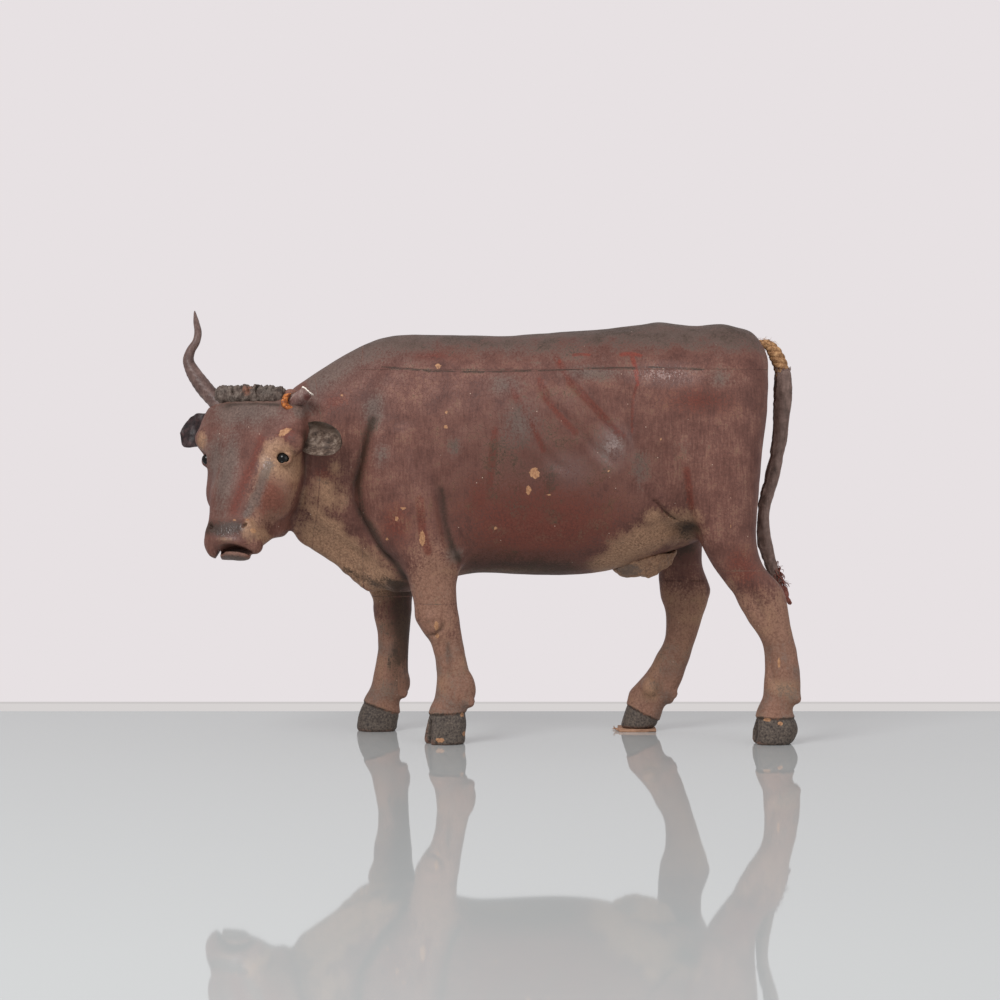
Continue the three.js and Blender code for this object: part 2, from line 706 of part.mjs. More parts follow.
function pollTuftForm(grow) {
  const half = TUFT_SPREAD / 2;
  const curve = new THREE.CatmullRomCurve3([
    new THREE.Vector3(-half, -TUFT_AHEAD, -2.5),
    new THREE.Vector3(-half * 0.4, -TUFT_AHEAD - 0.5, -0.8),
    new THREE.Vector3(half * 0.4, -TUFT_AHEAD - 0.5, -0.8),
    new THREE.Vector3(half, -TUFT_AHEAD, -2.5),
  ].map((point) => point.addScaledVector(ALONG, -TUFT_OFFSET)));
  const radius = (share) => {
    const curl = 1 - CURL_DEPTH * Math.cos(2 * Math.PI * CURLS * share);
    return TUFT_RADIUS * curl * (0.74 + 0.26 * Math.sin(Math.PI * share)) + grow;
  };
  const strip = solidOf(sweep(curve, radius, { steps: 24, sides: 10 }));
  return placed(strip, headPlace.matrixWorld);
}

// Neck. Rows: share of the way from the trunk to the poll, drop of its top (share of the poll's),
// rise of its bottom (share of the poll's height over the belly), half width, swing to the left
// (share of the poll's). The lower half is pinched, because the dewlap hangs there as a fold.
const NECK_ROWS = [
  [0, 0.12, -0.1, 35, 0],
  [0.234, 0.2, -0.07, 33, 0.02],
  [0.43, 0.42, 0.036, 28.5, 0.17],
  [0.594, 0.66, 0.15, 25, 0.38],
  [0.731, 0.88, 0.22, 23, 0.58],
  [0.86, 1.02, 0.29, 21.5, 0.8],
  [1, 1.1, 0.4, 19, 1],
];
const NECK_ROOT_AHEAD = 12; // the neck's rear end, ahead of the foreleg line, inside the trunk
const NECK_WAIST = 0.58;
const NECK_SQUARENESS = 2.15;
const DEWLAP_PINCH = 0.55;

function neckForm() {
  const start = SHOULDER_X - NECK_ROOT_AHEAD;
  const poll = headPlace.position;
  const rings = smoothRows(NECK_ROWS, NECK_RINGS).map(([share, drop, rise, half, swing]) => {
    const high = BACK_HEIGHT - drop * POLL_DROP;
    const low = BELLY_HEIGHT + rise * (poll.z - BELLY_HEIGHT);
    const waist = low + NECK_WAIST * (high - low);
    return turns(NECK_SIDES).map((turn) => {
      const [y, z] = superellipse(turn, NECK_SQUARENESS);
      const pinch = z < 0 ? 1 - DEWLAP_PINCH * z * z : 1;
      return new THREE.Vector3(
        THREE.MathUtils.lerp(start, poll.x, share),
        half * pinch * y + swing * poll.y,
        waist + (z > 0 ? high - waist : waist - low) * z,
      );
    });
  });
  return solidOf(loft(rings));
}

// The head's glue plane is upright, behind the poll, and turned a little towards the face.
const headJoint = new THREE.Group();
headJoint.position.copy(headPlace.position).addScaledVector(ALONG, HEAD_JOINT_BACK);
headJoint.rotation.z = rad(HEAD_JOINT_TURN);
headJoint.updateMatrixWorld(true);

// A slab across the figure, from one distance to another along the glue plane's normal.
function headJointSlab(near, far) {
  return placed(box([near, -FAR, -FAR], [far, FAR, FAR]), headJoint.matrixWorld);
}

// The pouch hangs between the thighs.
function pouchForm() {
  const form = new THREE.SphereGeometry(1, 20, 14);
  const points = form.attributes.position;
  const middle = HIP_X - POUCH_AHEAD;
  const belly = smooth(TRUNK_ROWS)(1 - (RUMP_X - middle) / TRUNK_LENGTH)[1];
  const sink = 3; // of its middle into the belly
  for (let i = 0; i < points.count; i++) {
    const [x, y, z] = [points.getX(i), points.getY(i), points.getZ(i)];
    points.setXYZ(
      i,
      middle + (POUCH_LENGTH / 2) * x,
      POUCH_HALF_WIDTH * y * (1 - 0.2 * x),
      BELLY_HEIGHT + belly + sink + (POUCH_HANG + sink) * z + 4 * x,
    );
  }
  return solidOf(form);
}

// Tail route, behind and above its root, as shares of the tail's length.
const TAIL_POINTS = [
  [0, 0],
  [0.03, 0],
  [0.046, -0.008],
  [0.066, -0.036],
  [0.085, -0.076],
  [0.098, -0.12],
  [0.102, -0.16],
  [0.102, -0.22],
  [0.098, -0.3],
  [0.089, -0.4],
  [0.076, -0.48],
  [0.052, -0.59],
  [0.03, -0.67],
  [0.022, -0.74],
  [0.026, -0.82],
  [0.044, -0.893],
  [0.068, -0.955],
  [0.088, -1],
];

const tailCurve = new THREE.CatmullRomCurve3([
  TAIL_ROOT.clone().addScaledVector(ALONG, -ROPE_SEAT_DEPTH),
  TAIL_ROOT.clone().addScaledVector(ALONG, -ROPE_SEAT_DEPTH / 2),
  ...TAIL_POINTS.map(([behind, up]) =>
    new THREE.Vector3(TAIL_LENGTH * behind, 0, TAIL_LENGTH * up).add(TAIL_ROOT),
  ),
]);

function ropeRadius(share) {
  return THREE.MathUtils.lerp(ROPE_RADIUS, ROPE_END_RADIUS, share ** 2);
}

function ropeForm(grow, to) {
  return solidOf(sweep(tailCurve, (share) => ropeRadius(share) + grow, {
    to, steps: 24, sides: 8,
  }));
}

function ropeHole() {
  const deepest = TAIL_ROOT.clone().addScaledVector(ALONG, -ROPE_SEAT_DEPTH - FIT);
  return rod(deepest.addScaledVector(ALONG, FAR / 2), ALONG, ROPE_RADIUS + FIT, FAR);
}

// The sleeve's bore goes through it from end to end.
function sleeveForm() {
  const outside = (share) =>
    THREE.MathUtils.mapLinear(share, SLEEVE_START, 1, SLEEVE_RADIUS, SLEEVE_END_RADIUS);
  const skin = sweep(tailCurve, outside, { from: SLEEVE_START, steps: 18, sides: 8 });
  return solidOf(skin).subtract(ropeForm(SLEEVE_BORE_SPARE, 1));
}

// The tuft's stem fills the end of the bore, and its hair spreads below the sleeve.
function tailTuftForm() {
  const end = tailCurve.getPointAt(1);
  const along = tailCurve.getTangentAt(1);
  const stemStart = tailCurve.getPointAt(1 - TUFT_STEM + 0.01);
  const curve = new THREE.CatmullRomCurve3([
    stemStart,
    end,
    end.clone().addScaledVector(along, TUFT_HANG * 0.5),
    end.clone().addScaledVector(along, TUFT_HANG).addScaledVector(ALONG, TUFT_HANG * 0.2),
  ]);
  const stem = stemStart.distanceTo(end) / curve.getLength();
  const spread = (share) => {
    if (share <= stem) return ROPE_END_RADIUS;
    const below = (share - stem) / (1 - stem);
    return ROPE_END_RADIUS * (1 + 1.1 * Math.sin(Math.PI * Math.min(below * 1.25, 1)) - 0.4 * below);
  };
  return solidOf(sweep(curve, spread, { steps: 12, sides: 10 }));
}

// What is carved as one shape, and then parted into blocks by the glue lines
const headAndNeck = headForm().add(neckForm());
const carved = joined([headAndNeck, trunkForm(), ...Object.values(legs).map(shoulderForm)]);
const half = JOINT_GAP / 2;
const behindHead = headJointSlab(half, FAR);
const aheadOfTrunk = box([-FAR, -FAR, -FAR], [NECK_JOINT_X - half, FAR, FAR]);
const upperTrunk = box([NECK_JOINT_X + half, -FAR, BOARD_JOINT_Z + half], [FAR, FAR, FAR]);
const lowerTrunk = box([NECK_JOINT_X + half, -FAR, -FAR], [FAR, FAR, BOARD_JOINT_Z - half]);

const neckDowel = dowel(
  new THREE.Vector3(NECK_JOINT_X, 0, level(1.6)), ALONG, NECK_DOWEL_RADIUS, NECK_DOWEL_LENGTH);
const headDowelAlong = ALONG.clone().transformDirection(headJoint.matrixWorld);
const headDowel = dowel(
  new THREE.Vector3(0, 0, level(1.38) - headPlace.position.z).applyMatrix4(headJoint.matrixWorld),
  headDowelAlong, HEAD_DOWEL_RADIUS, HEAD_DOWEL_LENGTH);
const boardPegs = [-1, 1].map((end) => dowel(
  new THREE.Vector3(SHOULDER_X + (HIP_X - SHOULDER_X) / 2 + (end * BOARD_PEG_SPACING) / 2, 0,
    BOARD_JOINT_Z),
  UP, BOARD_PEG_RADIUS, BOARD_PEG_LENGTH));
const legDowels = Object.values(legs).map(legDowel);
const rightHornPeg = hornPeg(wholeHornCurve);
const leftHornPeg = hornPeg(stubCurve);

const holes = (dowels) => dowels.map((one) => one.hole);
const trunkBlock = cutBy(carved.intersect(lowerTrunk), holes([...legDowels, ...boardPegs, neckDowel]));
const backBoard = cutBy(carved.intersect(upperTrunk), [...holes(boardPegs), ropeHole()]);
const neckBlock = cutBy(
  carved.intersect(aheadOfTrunk).intersect(behindHead), holes([neckDowel, headDowel]));
const headBlock = cutBy(carved.intersect(headJointSlab(-FAR, -half)), [
  mouthForm(),
  nostrilForm(-1),
  nostrilForm(1),
  eyeForm(LEFT, FIT),
  eyeForm(RIGHT, FIT),
  earForm(LEFT, FIT),
  earForm(RIGHT, FIT),
  wholeHornForm(FIT),
  stubForm(FIT),
  pollTuftForm(FIT),
  ...holes([headDowel, rightHornPeg, leftHornPeg]),
]);

// A gap all round under the pouch: the trunk, and the same moved down and to each side
const pouchTools = [[0, 0, 0], [0, 0, -FIT], [0, -FIT, -FIT], [0, FIT, -FIT]].map((step) =>
  placed(carved, new THREE.Matrix4().makeTranslation(...step)));
const groinPouch = cutBy(pouchForm(), pouchTools);

const tuftNeighbours = [
  wholeHornForm(FIT), stubForm(FIT), ...holes([rightHornPeg, leftHornPeg]),
];

const paint = {
  body: { color: "#6f4a42", roughness: 0.62 },
  back: { color: "#6a5a50", roughness: 0.75 },
  head: { color: "#6b5349", roughness: 0.65 },
  legs: { color: "#665045", roughness: 0.68 },
  pouch: { color: "#8a6f4e", roughness: 0.7 },
  hair: { color: "#5d4d41", roughness: 0.8 },
  horn: { color: "#5c4943", roughness: 0.45 },
  leather: { color: "#5b463c", roughness: 0.7 },
  darkLeather: { color: "#3c2c2a", roughness: 0.6 },
  rope: { color: "#b07a3c", roughness: 0.85 },
  glass: { color: "#0b0a0a", roughness: 0.08 },
  bareWood: { color: "#c9a26c", roughness: 0.7 },
};

const bull = new THREE.Group();
function piece(name, solid, finish) {
  const material = new THREE.MeshStandardMaterial({ ...finish, metalness: 0 });
  const mesh = new THREE.Mesh(geometryOf(solid), material);
  mesh.name = name;
  bull.add(mesh);
}

piece("trunk_block", trunkBlock, paint.body);
piece("back_board", backBoard, paint.back);
piece("neck_block", neckBlock, paint.body);
piece("head_block", headBlock, paint.head);
for (const [name, leg] of Object.entries(legs)) {
  piece(name, legBlock(leg), paint.legs);
  piece(`${name}_dowel`, legDowel(leg).pin, paint.bareWood);
}
piece("neck_dowel", neckDowel.pin, paint.bareWood);
piece("head_dowel", headDowel.pin, paint.bareWood);
piece("front_board_peg", boardPegs[0].pin, paint.bareWood);
piece("rear_board_peg", boardPegs[1].pin, paint.bareWood);
piece("groin_pouch", groinPouch, paint.pouch);
piece("sole_slip", slipForm(legs.right_hind_leg), paint.bareWood);
piece("left_eye", eyeForm(LEFT, 0), paint.glass);
piece("right_eye", eyeForm(RIGHT, 0), paint.glass);
piece("left_ear", earForm(LEFT, 0), paint.leather);
piece("right_ear", earForm(RIGHT, 0), paint.darkLeather);
piece("right_horn", wholeHornForm(0).subtract(rightHornPeg.hole), paint.horn);
piece("right_horn_peg", rightHornPeg.pin, paint.bareWood);
piece("left_horn_stub", stubForm(0).subtract(leftHornPeg.hole), paint.horn);
piece("left_horn_peg", leftHornPeg.pin, paint.bareWood);
piece("poll_tuft", cutBy(pollTuftForm(0), tuftNeighbours), paint.hair);
piece("tail_rope", ropeForm(0, 1 - TUFT_STEM), paint.rope);
piece("tail_sleeve", sleeveForm(), paint.leather);
piece("tail_tuft", tailTuftForm(), paint.hair);

// The origin is under the middle of the whole figure, on the floor.
const bounds = new THREE.Box3().setFromObject(bull);
const middle = bounds.getCenter(new THREE.Vector3());
bull.position.set(-middle.x, -middle.y, -bounds.min.z);

export default bull;
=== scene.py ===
# %% [markdown]
# # A carved and painted wooden bull
# The figure stands in a nativity scene. A carver glued it up from blocks of wood, cut it to shape
# and painted it, then let in glass eyes, leather ears, two horns, a strip of curls and a rope
# tail. The CAD part gives every block its place. This lesson gives each one its carved skin and
# its finish. All lengths below are in millimetres from the carver's zero, and only the last step
# of each mesh turns them into Blender's metres.

import math

import bmesh
import bpy
import numpy as np
from mathutils import Matrix, Vector


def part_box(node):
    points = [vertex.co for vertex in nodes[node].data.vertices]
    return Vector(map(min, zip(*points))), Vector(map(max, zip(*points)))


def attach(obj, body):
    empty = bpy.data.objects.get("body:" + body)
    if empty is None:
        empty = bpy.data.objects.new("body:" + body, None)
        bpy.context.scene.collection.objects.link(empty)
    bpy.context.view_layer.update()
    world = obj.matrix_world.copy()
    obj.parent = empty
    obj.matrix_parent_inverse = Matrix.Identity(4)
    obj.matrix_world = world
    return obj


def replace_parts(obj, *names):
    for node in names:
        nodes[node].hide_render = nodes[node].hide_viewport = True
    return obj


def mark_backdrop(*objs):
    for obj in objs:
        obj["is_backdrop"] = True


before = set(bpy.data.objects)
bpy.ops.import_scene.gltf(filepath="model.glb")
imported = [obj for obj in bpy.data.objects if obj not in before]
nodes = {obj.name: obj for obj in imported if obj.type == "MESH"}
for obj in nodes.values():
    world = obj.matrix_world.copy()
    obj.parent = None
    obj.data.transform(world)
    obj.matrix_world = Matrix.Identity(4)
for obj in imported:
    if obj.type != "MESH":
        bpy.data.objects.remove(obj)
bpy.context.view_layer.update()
MM = 0.001
FAR = 400.0  # mm, beyond every part of the figure
rng = np.random.default_rng(7)
print("nodes:", len(nodes))

# %% [markdown]
# ## The carver's zero
# The figure was drawn from the middle of its back, over the floor. The rear peg of the back board
# stands 120 mm behind that line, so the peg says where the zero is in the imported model.

# %% Find the zero
PEG_BEHIND = 120.0


def fade(values, start, end):
    """0 before start, 1 after end, and an even ramp with soft ends between them."""
    t = np.clip((values - start) / (end - start), 0, 1)
    return t * t * (3 - 2 * t)


def box_mm(node):
    """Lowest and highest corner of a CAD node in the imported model, in mm."""
    return [np.array(corner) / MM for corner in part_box(node)]


low, high = box_mm("rear_board_peg")
ZERO = np.array([(low[0] + high[0]) / 2 - PEG_BEHIND, (low[1] + high[1]) / 2, 0.0])
print("carver's zero in the packed model, mm:", ZERO.round(3))

# %% [markdown]
# ## Camera, light and shelf
# The photograph was taken from 1.5 m with a long lens, a little above the middle of the figure,
# on a glass shelf in front of a pale wall. A slight tilt down is all the camera needs. The light
# is a studio's: one large soft lamp above and left of the camera, a weaker one from the right,
# and a pale room all round.

# %% Camera
CAMERA_AT = (0.0, -1500.0, 185.0)
CAMERA_TILT = 88.2  # degrees from looking straight down
LENS = 93.1  # mm on a 36 mm sensor
scene = bpy.context.scene


def seen(name, data):
    """Links a new object to the scene."""
    obj = bpy.data.objects.new(name, data)
    scene.collection.objects.link(obj)
    return obj


camera = seen("camera", bpy.data.cameras.new("camera"))
camera.data.lens = LENS
camera.data.clip_end = 20.0
camera.location = (np.array(CAMERA_AT) + ZERO) * MM
camera.rotation_euler = (math.radians(CAMERA_TILT), 0, 0)
scene.camera = camera
scene.view_settings.view_transform = "Standard"

# %% Lamps


def lamp(name, place, aim, size, power):
    """A square soft lamp at a place, turned towards a point, both in mm."""
    light = bpy.data.lights.new(name, "AREA")
    light.size = size
    light.energy = power
    obj = seen(name, light)
    obj.location = (np.array(place) + ZERO) * MM
    obj.rotation_euler = Vector(np.array(aim) - np.array(place)).to_track_quat("-Z", "Y").to_euler()


MIDDLE = (0, 0, 120)
lamp("window", (-700, -1100, 1250), MIDDLE, 0.7, 19)
lamp("fill", (1100, -1000, 600), MIDDLE, 1.2, 6)
world = bpy.data.worlds.new("room")
world.use_nodes = True
world.node_tree.nodes["Background"].inputs["Color"].default_value = (0.86, 0.84, 0.85, 1)
world.node_tree.nodes["Background"].inputs["Strength"].default_value = 0.7
scene.world = world

# %% Meshes from arrays


def read(items, field, width, kind=np.float32):
    """One field of each item of a mesh, as an array with a row for each."""
    flat = np.empty(len(items) * width, kind)
    items.foreach_get(field, flat)
    return flat.reshape(-1, width)


def points_of(mesh):
    """All points of a mesh as rows of x, y, z, in mm from the carver's zero."""
    return read(mesh.vertices, "co", 3).astype(float) / MM - ZERO


def set_points(mesh, points):
    """Puts rows of x, y, z, in mm from the carver's zero, into a mesh."""
    mesh.vertices.foreach_set("co", ((points + ZERO) * MM).astype(np.float32).ravel())
    mesh.update()


def piece(name, mesh, body="carving"):
    """Shows a mesh as a piece that rides on a CAD body."""
    obj = seen(name, mesh)
    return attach(obj, body)


def joined(*meshes, merge=0.0):
    """Several meshes in one. Points nearer to each other than merge, in metres, become one."""
    work = bmesh.new()
    for mesh in meshes:
        work.from_mesh(mesh)
    if merge:
        bmesh.ops.remove_doubles(work, verts=work.verts, dist=merge)
    whole = bpy.data.meshes.new("joined")
    work.to_mesh(whole)
    work.free()
    return whole


def built(name, points, *faces):
    """A closed smooth mesh from points in mm and arrays of faces, all turned outwards."""
    mesh = bpy.data.meshes.new(name)
    faces = [face for some in faces for face in some.tolist()]
    mesh.from_pydata(((points + ZERO) * MM).tolist(), [], faces)
    work = bmesh.new()
    work.from_mesh(mesh)
    bmesh.ops.recalc_face_normals(work, faces=work.faces)
    if work.calc_volume(signed=True) < 0:
        bmesh.ops.reverse_faces(work, faces=work.faces)
    work.to_mesh(mesh)
    work.free()
    mesh.shade_smooth()
    return mesh


def closed_grid(name, grid):
    """A mesh from a grid of points, rings by sides, closed around and with a fan on each end."""
    rings, sides = grid.shape[:2]
    index = np.arange(rings * sides).reshape(rings, sides)
    after = np.roll(index, -1, axis=1)
    quads = np.stack([index[:-1], after[:-1], after[1:], index[1:]], axis=-1).reshape(-1, 4)
    ends = np.array([grid[0].mean(0), grid[-1].mean(0)])
    start, end = rings * sides, rings * sides + 1
    first = np.stack([after[0], index[0], np.full(sides, start)], axis=-1)
    last = np.stack([index[-1], after[-1], np.full(sides, end)], axis=-1)
    return built(name, np.vstack([grid.reshape(-1, 3), ends]), quads, first, last)


# %% [markdown]
# ## One carved skin
# The blocks were glued first and carved after, so the surface runs over the glue lines. The same
# is done here: the CAD blocks are copied, joined, and turned into one even net of small squares
# by a voxel remesh. A sculptor would do this by hand in Sculpt Mode. Here numpy smooths and cuts
# it, so that it comes out the same each time.

# %% Join the blocks
BLOCKS = [
    "trunk_block", "back_board", "neck_block", "head_block",
    "left_foreleg", "right_foreleg", "left_hind_leg", "right_hind_leg",
]
FILLING = [
    "left_foreleg_dowel", "right_foreleg_dowel", "left_hind_leg_dowel", "right_hind_leg_dowel",
    "neck_dowel", "head_dowel", "front_board_peg", "rear_board_peg",
]
CLOSE_GAPS = 0.2  # mm that each block is swollen by, so that the glue lines close
NEAR_ENOUGH = 3.0  # mm that a point may move when a skin is pulled onto another


def swollen(names, grow):
    """The CAD nodes as one mesh, doubles merged, each point moved out along its normal by grow."""
    mesh = joined(*[nodes[name].data for name in names], merge=1e-6)
    set_points(mesh, points_of(mesh) + grow * read(mesh.vertex_normals, "vector", 3))
    return mesh


def applied(mesh, kind, **settings):
    """The mesh with one modifier applied."""
    obj = seen("work", mesh)
    modifier = obj.modifiers.new("m", kind)
    for key, value in settings.items():
        setattr(modifier, key, value)
    done = bpy.data.meshes.new_from_object(
        obj.evaluated_get(bpy.context.evaluated_depsgraph_get()))
    bpy.data.objects.remove(obj)
    return done


def wrapped(mesh, target, weight):
    """The mesh with its points pulled onto the nearest surface of a target mesh, each by the weight
    of its place. Points farther off than NEAR_ENOUGH, such as those of a saw cut, stay."""
    aim = seen("aim", target)
    pulled = points_of(applied(mesh, "SHRINKWRAP", target=aim, wrap_method="NEAREST_SURFACEPOINT"))
    bpy.data.objects.remove(aim)
    points = points_of(mesh)
    off = np.linalg.norm(pulled - points, axis=1)
    share = (weight(points) * (1 - fade(off, 0.7 * NEAR_ENOUGH, NEAR_ENOUGH)))[:, None]
    set_points(mesh, points * (1 - share) + pulled * share)
    return mesh


def edges_of(mesh):
    """Pairs of point numbers, one row for each edge."""
    return read(mesh.edges, "vertices", 2, np.int32)


VOXEL = 1.1
skin = applied(swollen(BLOCKS + FILLING, CLOSE_GAPS), "REMESH", mode="VOXEL", voxel_size=VOXEL * MM)
skin.name = "skin"
print("skin:", len(skin.vertices), "points,", len(skin.polygons), "squares")

# %% [markdown]
# ## Sanding
# A voxel skin still shows the facets of the CAD blocks. A carver sands them away. Here each point
# is held to its old place by a spring and pulled by its neighbours like a stretched net. What the
# net took away is netted again and given back, so that hills narrower than the reach go and the
# slow curves stay. The trunk has the widest facets and gets the longest reach. Legs and head keep
# more.

# %% Smooth the skin


def netted(points, edges, hold, rounds=40):
    """Points at rest between springs of strength hold and a net along the edges, by conjugate
    gradients: each round steps along one direction that the earlier ones left untouched."""
    count = len(points)
    share = np.bincount(edges.ravel(), minlength=count)[:, None]

    def pull(x):
        total = np.stack([np.bincount(edges[:, 0], x[edges[:, 1], k], count)
                          + np.bincount(edges[:, 1], x[edges[:, 0], k], count)
                          for k in range(x.shape[1])], axis=1)
        return (hold + share) * x - total

    rest = hold * points - pull(points)
    result, way, size = points.copy(), rest.copy(), (rest ** 2).sum(0)
    for _ in range(rounds):
        pulled = pull(way)
        step = size / ((way * pulled).sum(0) + 1e-30)
        result += step * way
        rest -= step * pulled
        size, before = (rest ** 2).sum(0), size
        way = rest + (size / (before + 1e-30)) * way
    return result


def sanded(points, edges, reach, edge_length):
    """Takes away hills narrower than reach, in mm, which may differ from point to point."""
    hold = (edge_length / reach[:, None]) ** 2
    soft = netted(points, edges, hold)
    return soft + netted(points - soft, edges, hold)


edges = edges_of(skin)
P = points_of(skin)
trunk_part = fade(P[:, 2], 84, 108) * fade(P[:, 0], -118, -88)
TRUNK_REACH = 8.0
LEG_REACH = 2.2
P = sanded(P, edges, LEG_REACH + (TRUNK_REACH - LEG_REACH) * trunk_part, VOXEL)
P[:, 2] = np.maximum(P[:, 2], 0)
set_points(skin, P)
print("sanded skin spans, mm:", P.min(0).round(1), P.max(0).round(1))

# %% [markdown]
# ## Carving the flanks
# The carver cut the folds of skin with a gouge: a deep one between neck and shoulder, one behind
# the elbow, slanting ones over the ribs, one in front of the thigh. A fold is a path on the
# flank, given by x and height, and the skin moves along its own normals by a height that depends
# on the distance to the path. Both flanks get most folds, so the far side is carved too; the crack
# over the flank and the cheek fold are cut on the near side only. The crest of the neck and the
# ragged edge of the dewlap are raised the same way.

# %% Tools for carving
NEAR, BOTH = (-1,), (-1, 1)  # the sign of y on the flank that the camera sees, and on both


def bell(values, middle, width):
    """1 at the middle, falling off to both sides like a bell."""
    return np.exp(-((values - middle) / width) ** 2)


def normals_of(mesh):
    """The outward direction at each point."""
    return read(mesh.vertex_normals, "vector", 3).astype(float)


def beside(spots, path):
    """For flat spots, the distance to a path, plus on its left, and the share of its length."""
    path = np.array(path, float)
    ways = np.diff(path, axis=0)
    lengths = np.hypot(*ways.T)
    behind = np.concatenate([[0], np.cumsum(lengths)])
    best = np.full(len(spots), np.inf)
    signed, share = np.zeros(len(spots)), np.zeros(len(spots))
    for start, way, length, walked in zip(path, ways, lengths, behind):
        off = spots - start
        t = np.clip(off @ way / length ** 2, 0, 1)
        gap = np.hypot(*(off - t[:, None] * way).T)
        left = way[0] * off[:, 1] - way[1] * off[:, 0] > 0
        closer = gap < best
        best[closer] = gap[closer]
        signed[closer] = np.where(left, gap, -gap)[closer]
        share[closer] = ((walked + t * length) / behind[-1])[closer]
    return signed, share


def noise(points, size, seed):
    """Soft random hills from -1 to 1: random numbers on a lattice of the given size, blended
    between the lattice points."""
    table = np.random.default_rng(seed).uniform(-1, 1, (32, 32, 32))
    spot = points / size + 1000
    cell = np.floor(spot).astype(int)
    part = spot - cell
    part = part * part * (3 - 2 * part)
    total = 0
    for corner in np.ndindex(2, 2, 2):
        share = np.prod(np.where(corner, part, 1 - part), axis=1)
        total = total + share * table[tuple(((cell + corner) % 32).T)]
    return total


class Carving:
    """Points, their normals, and the height that the cuts so far move each point by."""

    def __init__(self, mesh):
        self.mesh = mesh
        self.points = points_of(mesh)
        self.normals = normals_of(mesh)
        self.lift = np.zeros(len(self.points))

    def fold(self, path, depth, width, lip=0.0, lip_width=4.0, drop=0.0, drop_width=8.0,
             sides=BOTH, start=0.12, end=0.2):
        """A gouge cut of a depth along a path of x and z: a bell across the path. The skin on the
        right of the path swells by lip, the skin on its left sinks by drop. start and end are the
        shares of the path over which the cut fades in and out."""
        path = np.array(path, float)
        reach = 3 * max(width, lip_width if lip else 0, drop_width if drop else 0)
        for side in sides:
            spots = self.points[:, [0, 2]]
            near = ((self.points[:, 1] * side > 2) & (spots > path.min(0) - reach).all(1)
                    & (spots < path.max(0) + reach).all(1)).nonzero()[0]
            across, share = beside(spots[near], path)
            facing = fade(self.normals[near, 1] * side, -0.1, 0.25)
            ends = fade(share, 0, start) * (1 - fade(share, 1 - end, 1))
            height = -depth * bell(across, 0, width)
            height += lip * bell(across, -1.3 * lip_width, lip_width)
            height -= drop * bell(across, 0.6 * drop_width, drop_width)
            self.lift[near] += facing * ends * height

    def swell(self, centre, radii, height, sides=BOTH):
        """A soft hill (or hollow, for a height under 0) around a centre given for the far side."""
        for side in sides:
            off = (self.points - np.array(centre) * (1, side, 1)) / np.array(radii)
            self.lift += height * np.exp(-(off ** 2).sum(1))

    def cut(self):
        """Moves the points along their normals by the heights gathered so far."""
        self.points = self.points + self.lift[:, None] * self.normals
        set_points(self.mesh, self.points)
        print(self.mesh.name, "cut from", self.lift.min().round(1), "to", self.lift.max().round(1))


def lay(mesh, masks):
    """Stores each mask in a mesh, as a float at each point."""
    for name, values in masks.items():
        layer = mesh.attributes.get(name) or mesh.attributes.new(name, "FLOAT", "POINT")
        layer.data.foreach_set("value", values.astype(np.float32))


def keep_cavity(mesh, reach, edge_length, top=FAR):
    """Stores how far each point lies under the smoothed surface, in mm, less the mean near it:
    over 0 in a fold, under 0 on an edge, and 0 at a saw cut at the height of top. The finish
    darkens the folds with dirt and painted shade, and paint wears off edges."""
    points, edges = points_of(mesh), edges_of(mesh)
    hold = np.full((len(points), 1), (edge_length / reach) ** 2)
    depth = ((netted(points, edges, hold) - points) * normals_of(mesh)).sum(1)[:, None]
    depth = (depth - netted(depth, edges, hold / 9))[:, 0] * fade(-points[:, 2], 4 - top, 12 - top)
    lay(mesh, {"cavity": depth})


# %% Patches and strokes


def patch(spots, centre, radii, turn=0.0):
    """1 in the middle of an ellipse, 0 on its edge, and falling on outside. turn is in degrees."""
    c, s = math.cos(math.radians(turn)), math.sin(math.radians(turn))
    off = (spots - np.array(centre)) @ np.array([(c, -s), (s, c)]) / radii
    return 1 - np.hypot(*off.T)


def stroke(spots, path, width):
    """1 along the middle of a brush stroke, 0 on its edge, and falling on outside."""
    return 1 - np.abs(beside(spots, path)[0]) / width


def table(spots, rows):
    """A mask for each row of a table. A row with a list is a stroke: path, width and a weight that
    is added. Any other row is a patch: centre, radii, weight, and perhaps a turn."""
    return [(stroke(spots, where, size) if isinstance(where, list)
             else patch(spots, where, size, *turn))
            + weight for where, size, weight, *turn in rows]


def most(*layers):
    """The highest of some masks at each point, kept between -1 and 1."""
    return np.clip(np.max(layers, axis=0), -1, 1)


# %% Carve the folds
NECK_FOLD = [(-56, 98), (-68, 107.5), (-74, 115), (-80, 127), (-84, 137.5), (-83.5, 147),
             (-80.5, 159), (-78.5, 172), (-75, 184), (-73, 195)]
ELBOW_FOLD = [(-39, 162), (-36.7, 151), (-34.9, 141.5), (-32.6, 127), (-30.2, 115.5), (-25.5, 107),
              (-21, 101)]
BLADE_RIDGE = [(-54.5, 184), (-48.5, 151), (-43.8, 125)]
RIB_FOLDS = [
    [(37.5, 211), (46, 199.5), (57, 186), (66.8, 174), (73, 166)],
    [(20, 207), (30, 193.5), (41, 183), (53, 169), (66, 158)],
    [(5, 205), (13.5, 186.5), (20.5, 172.5), (31, 160), (45, 153)],
]
FLANK_FOLD = [(74, 203), (74, 188), (74, 176), (76.4, 168), (80, 149.5), (82, 141)]
FLANK_CRACK = [(84.9, 140.4), (88.8, 137.1), (92.7, 133.1), (96.1, 129.5), (99.5, 126.9),
               (103.4, 124.1), (107.9, 120.8)]
THIGH_FOLD = [(97.5, 176), (100, 163), (102.5, 149.5), (105.8, 138), (108.2, 127.6), (114, 111),
              (117, 100)]
CHEEK_FOLD = [(-106, 152), (-95, 144), (-84, 137)]
THROAT_FOLD = [(-112, 124), (-98, 118), (-84, 108), (-72, 99)]
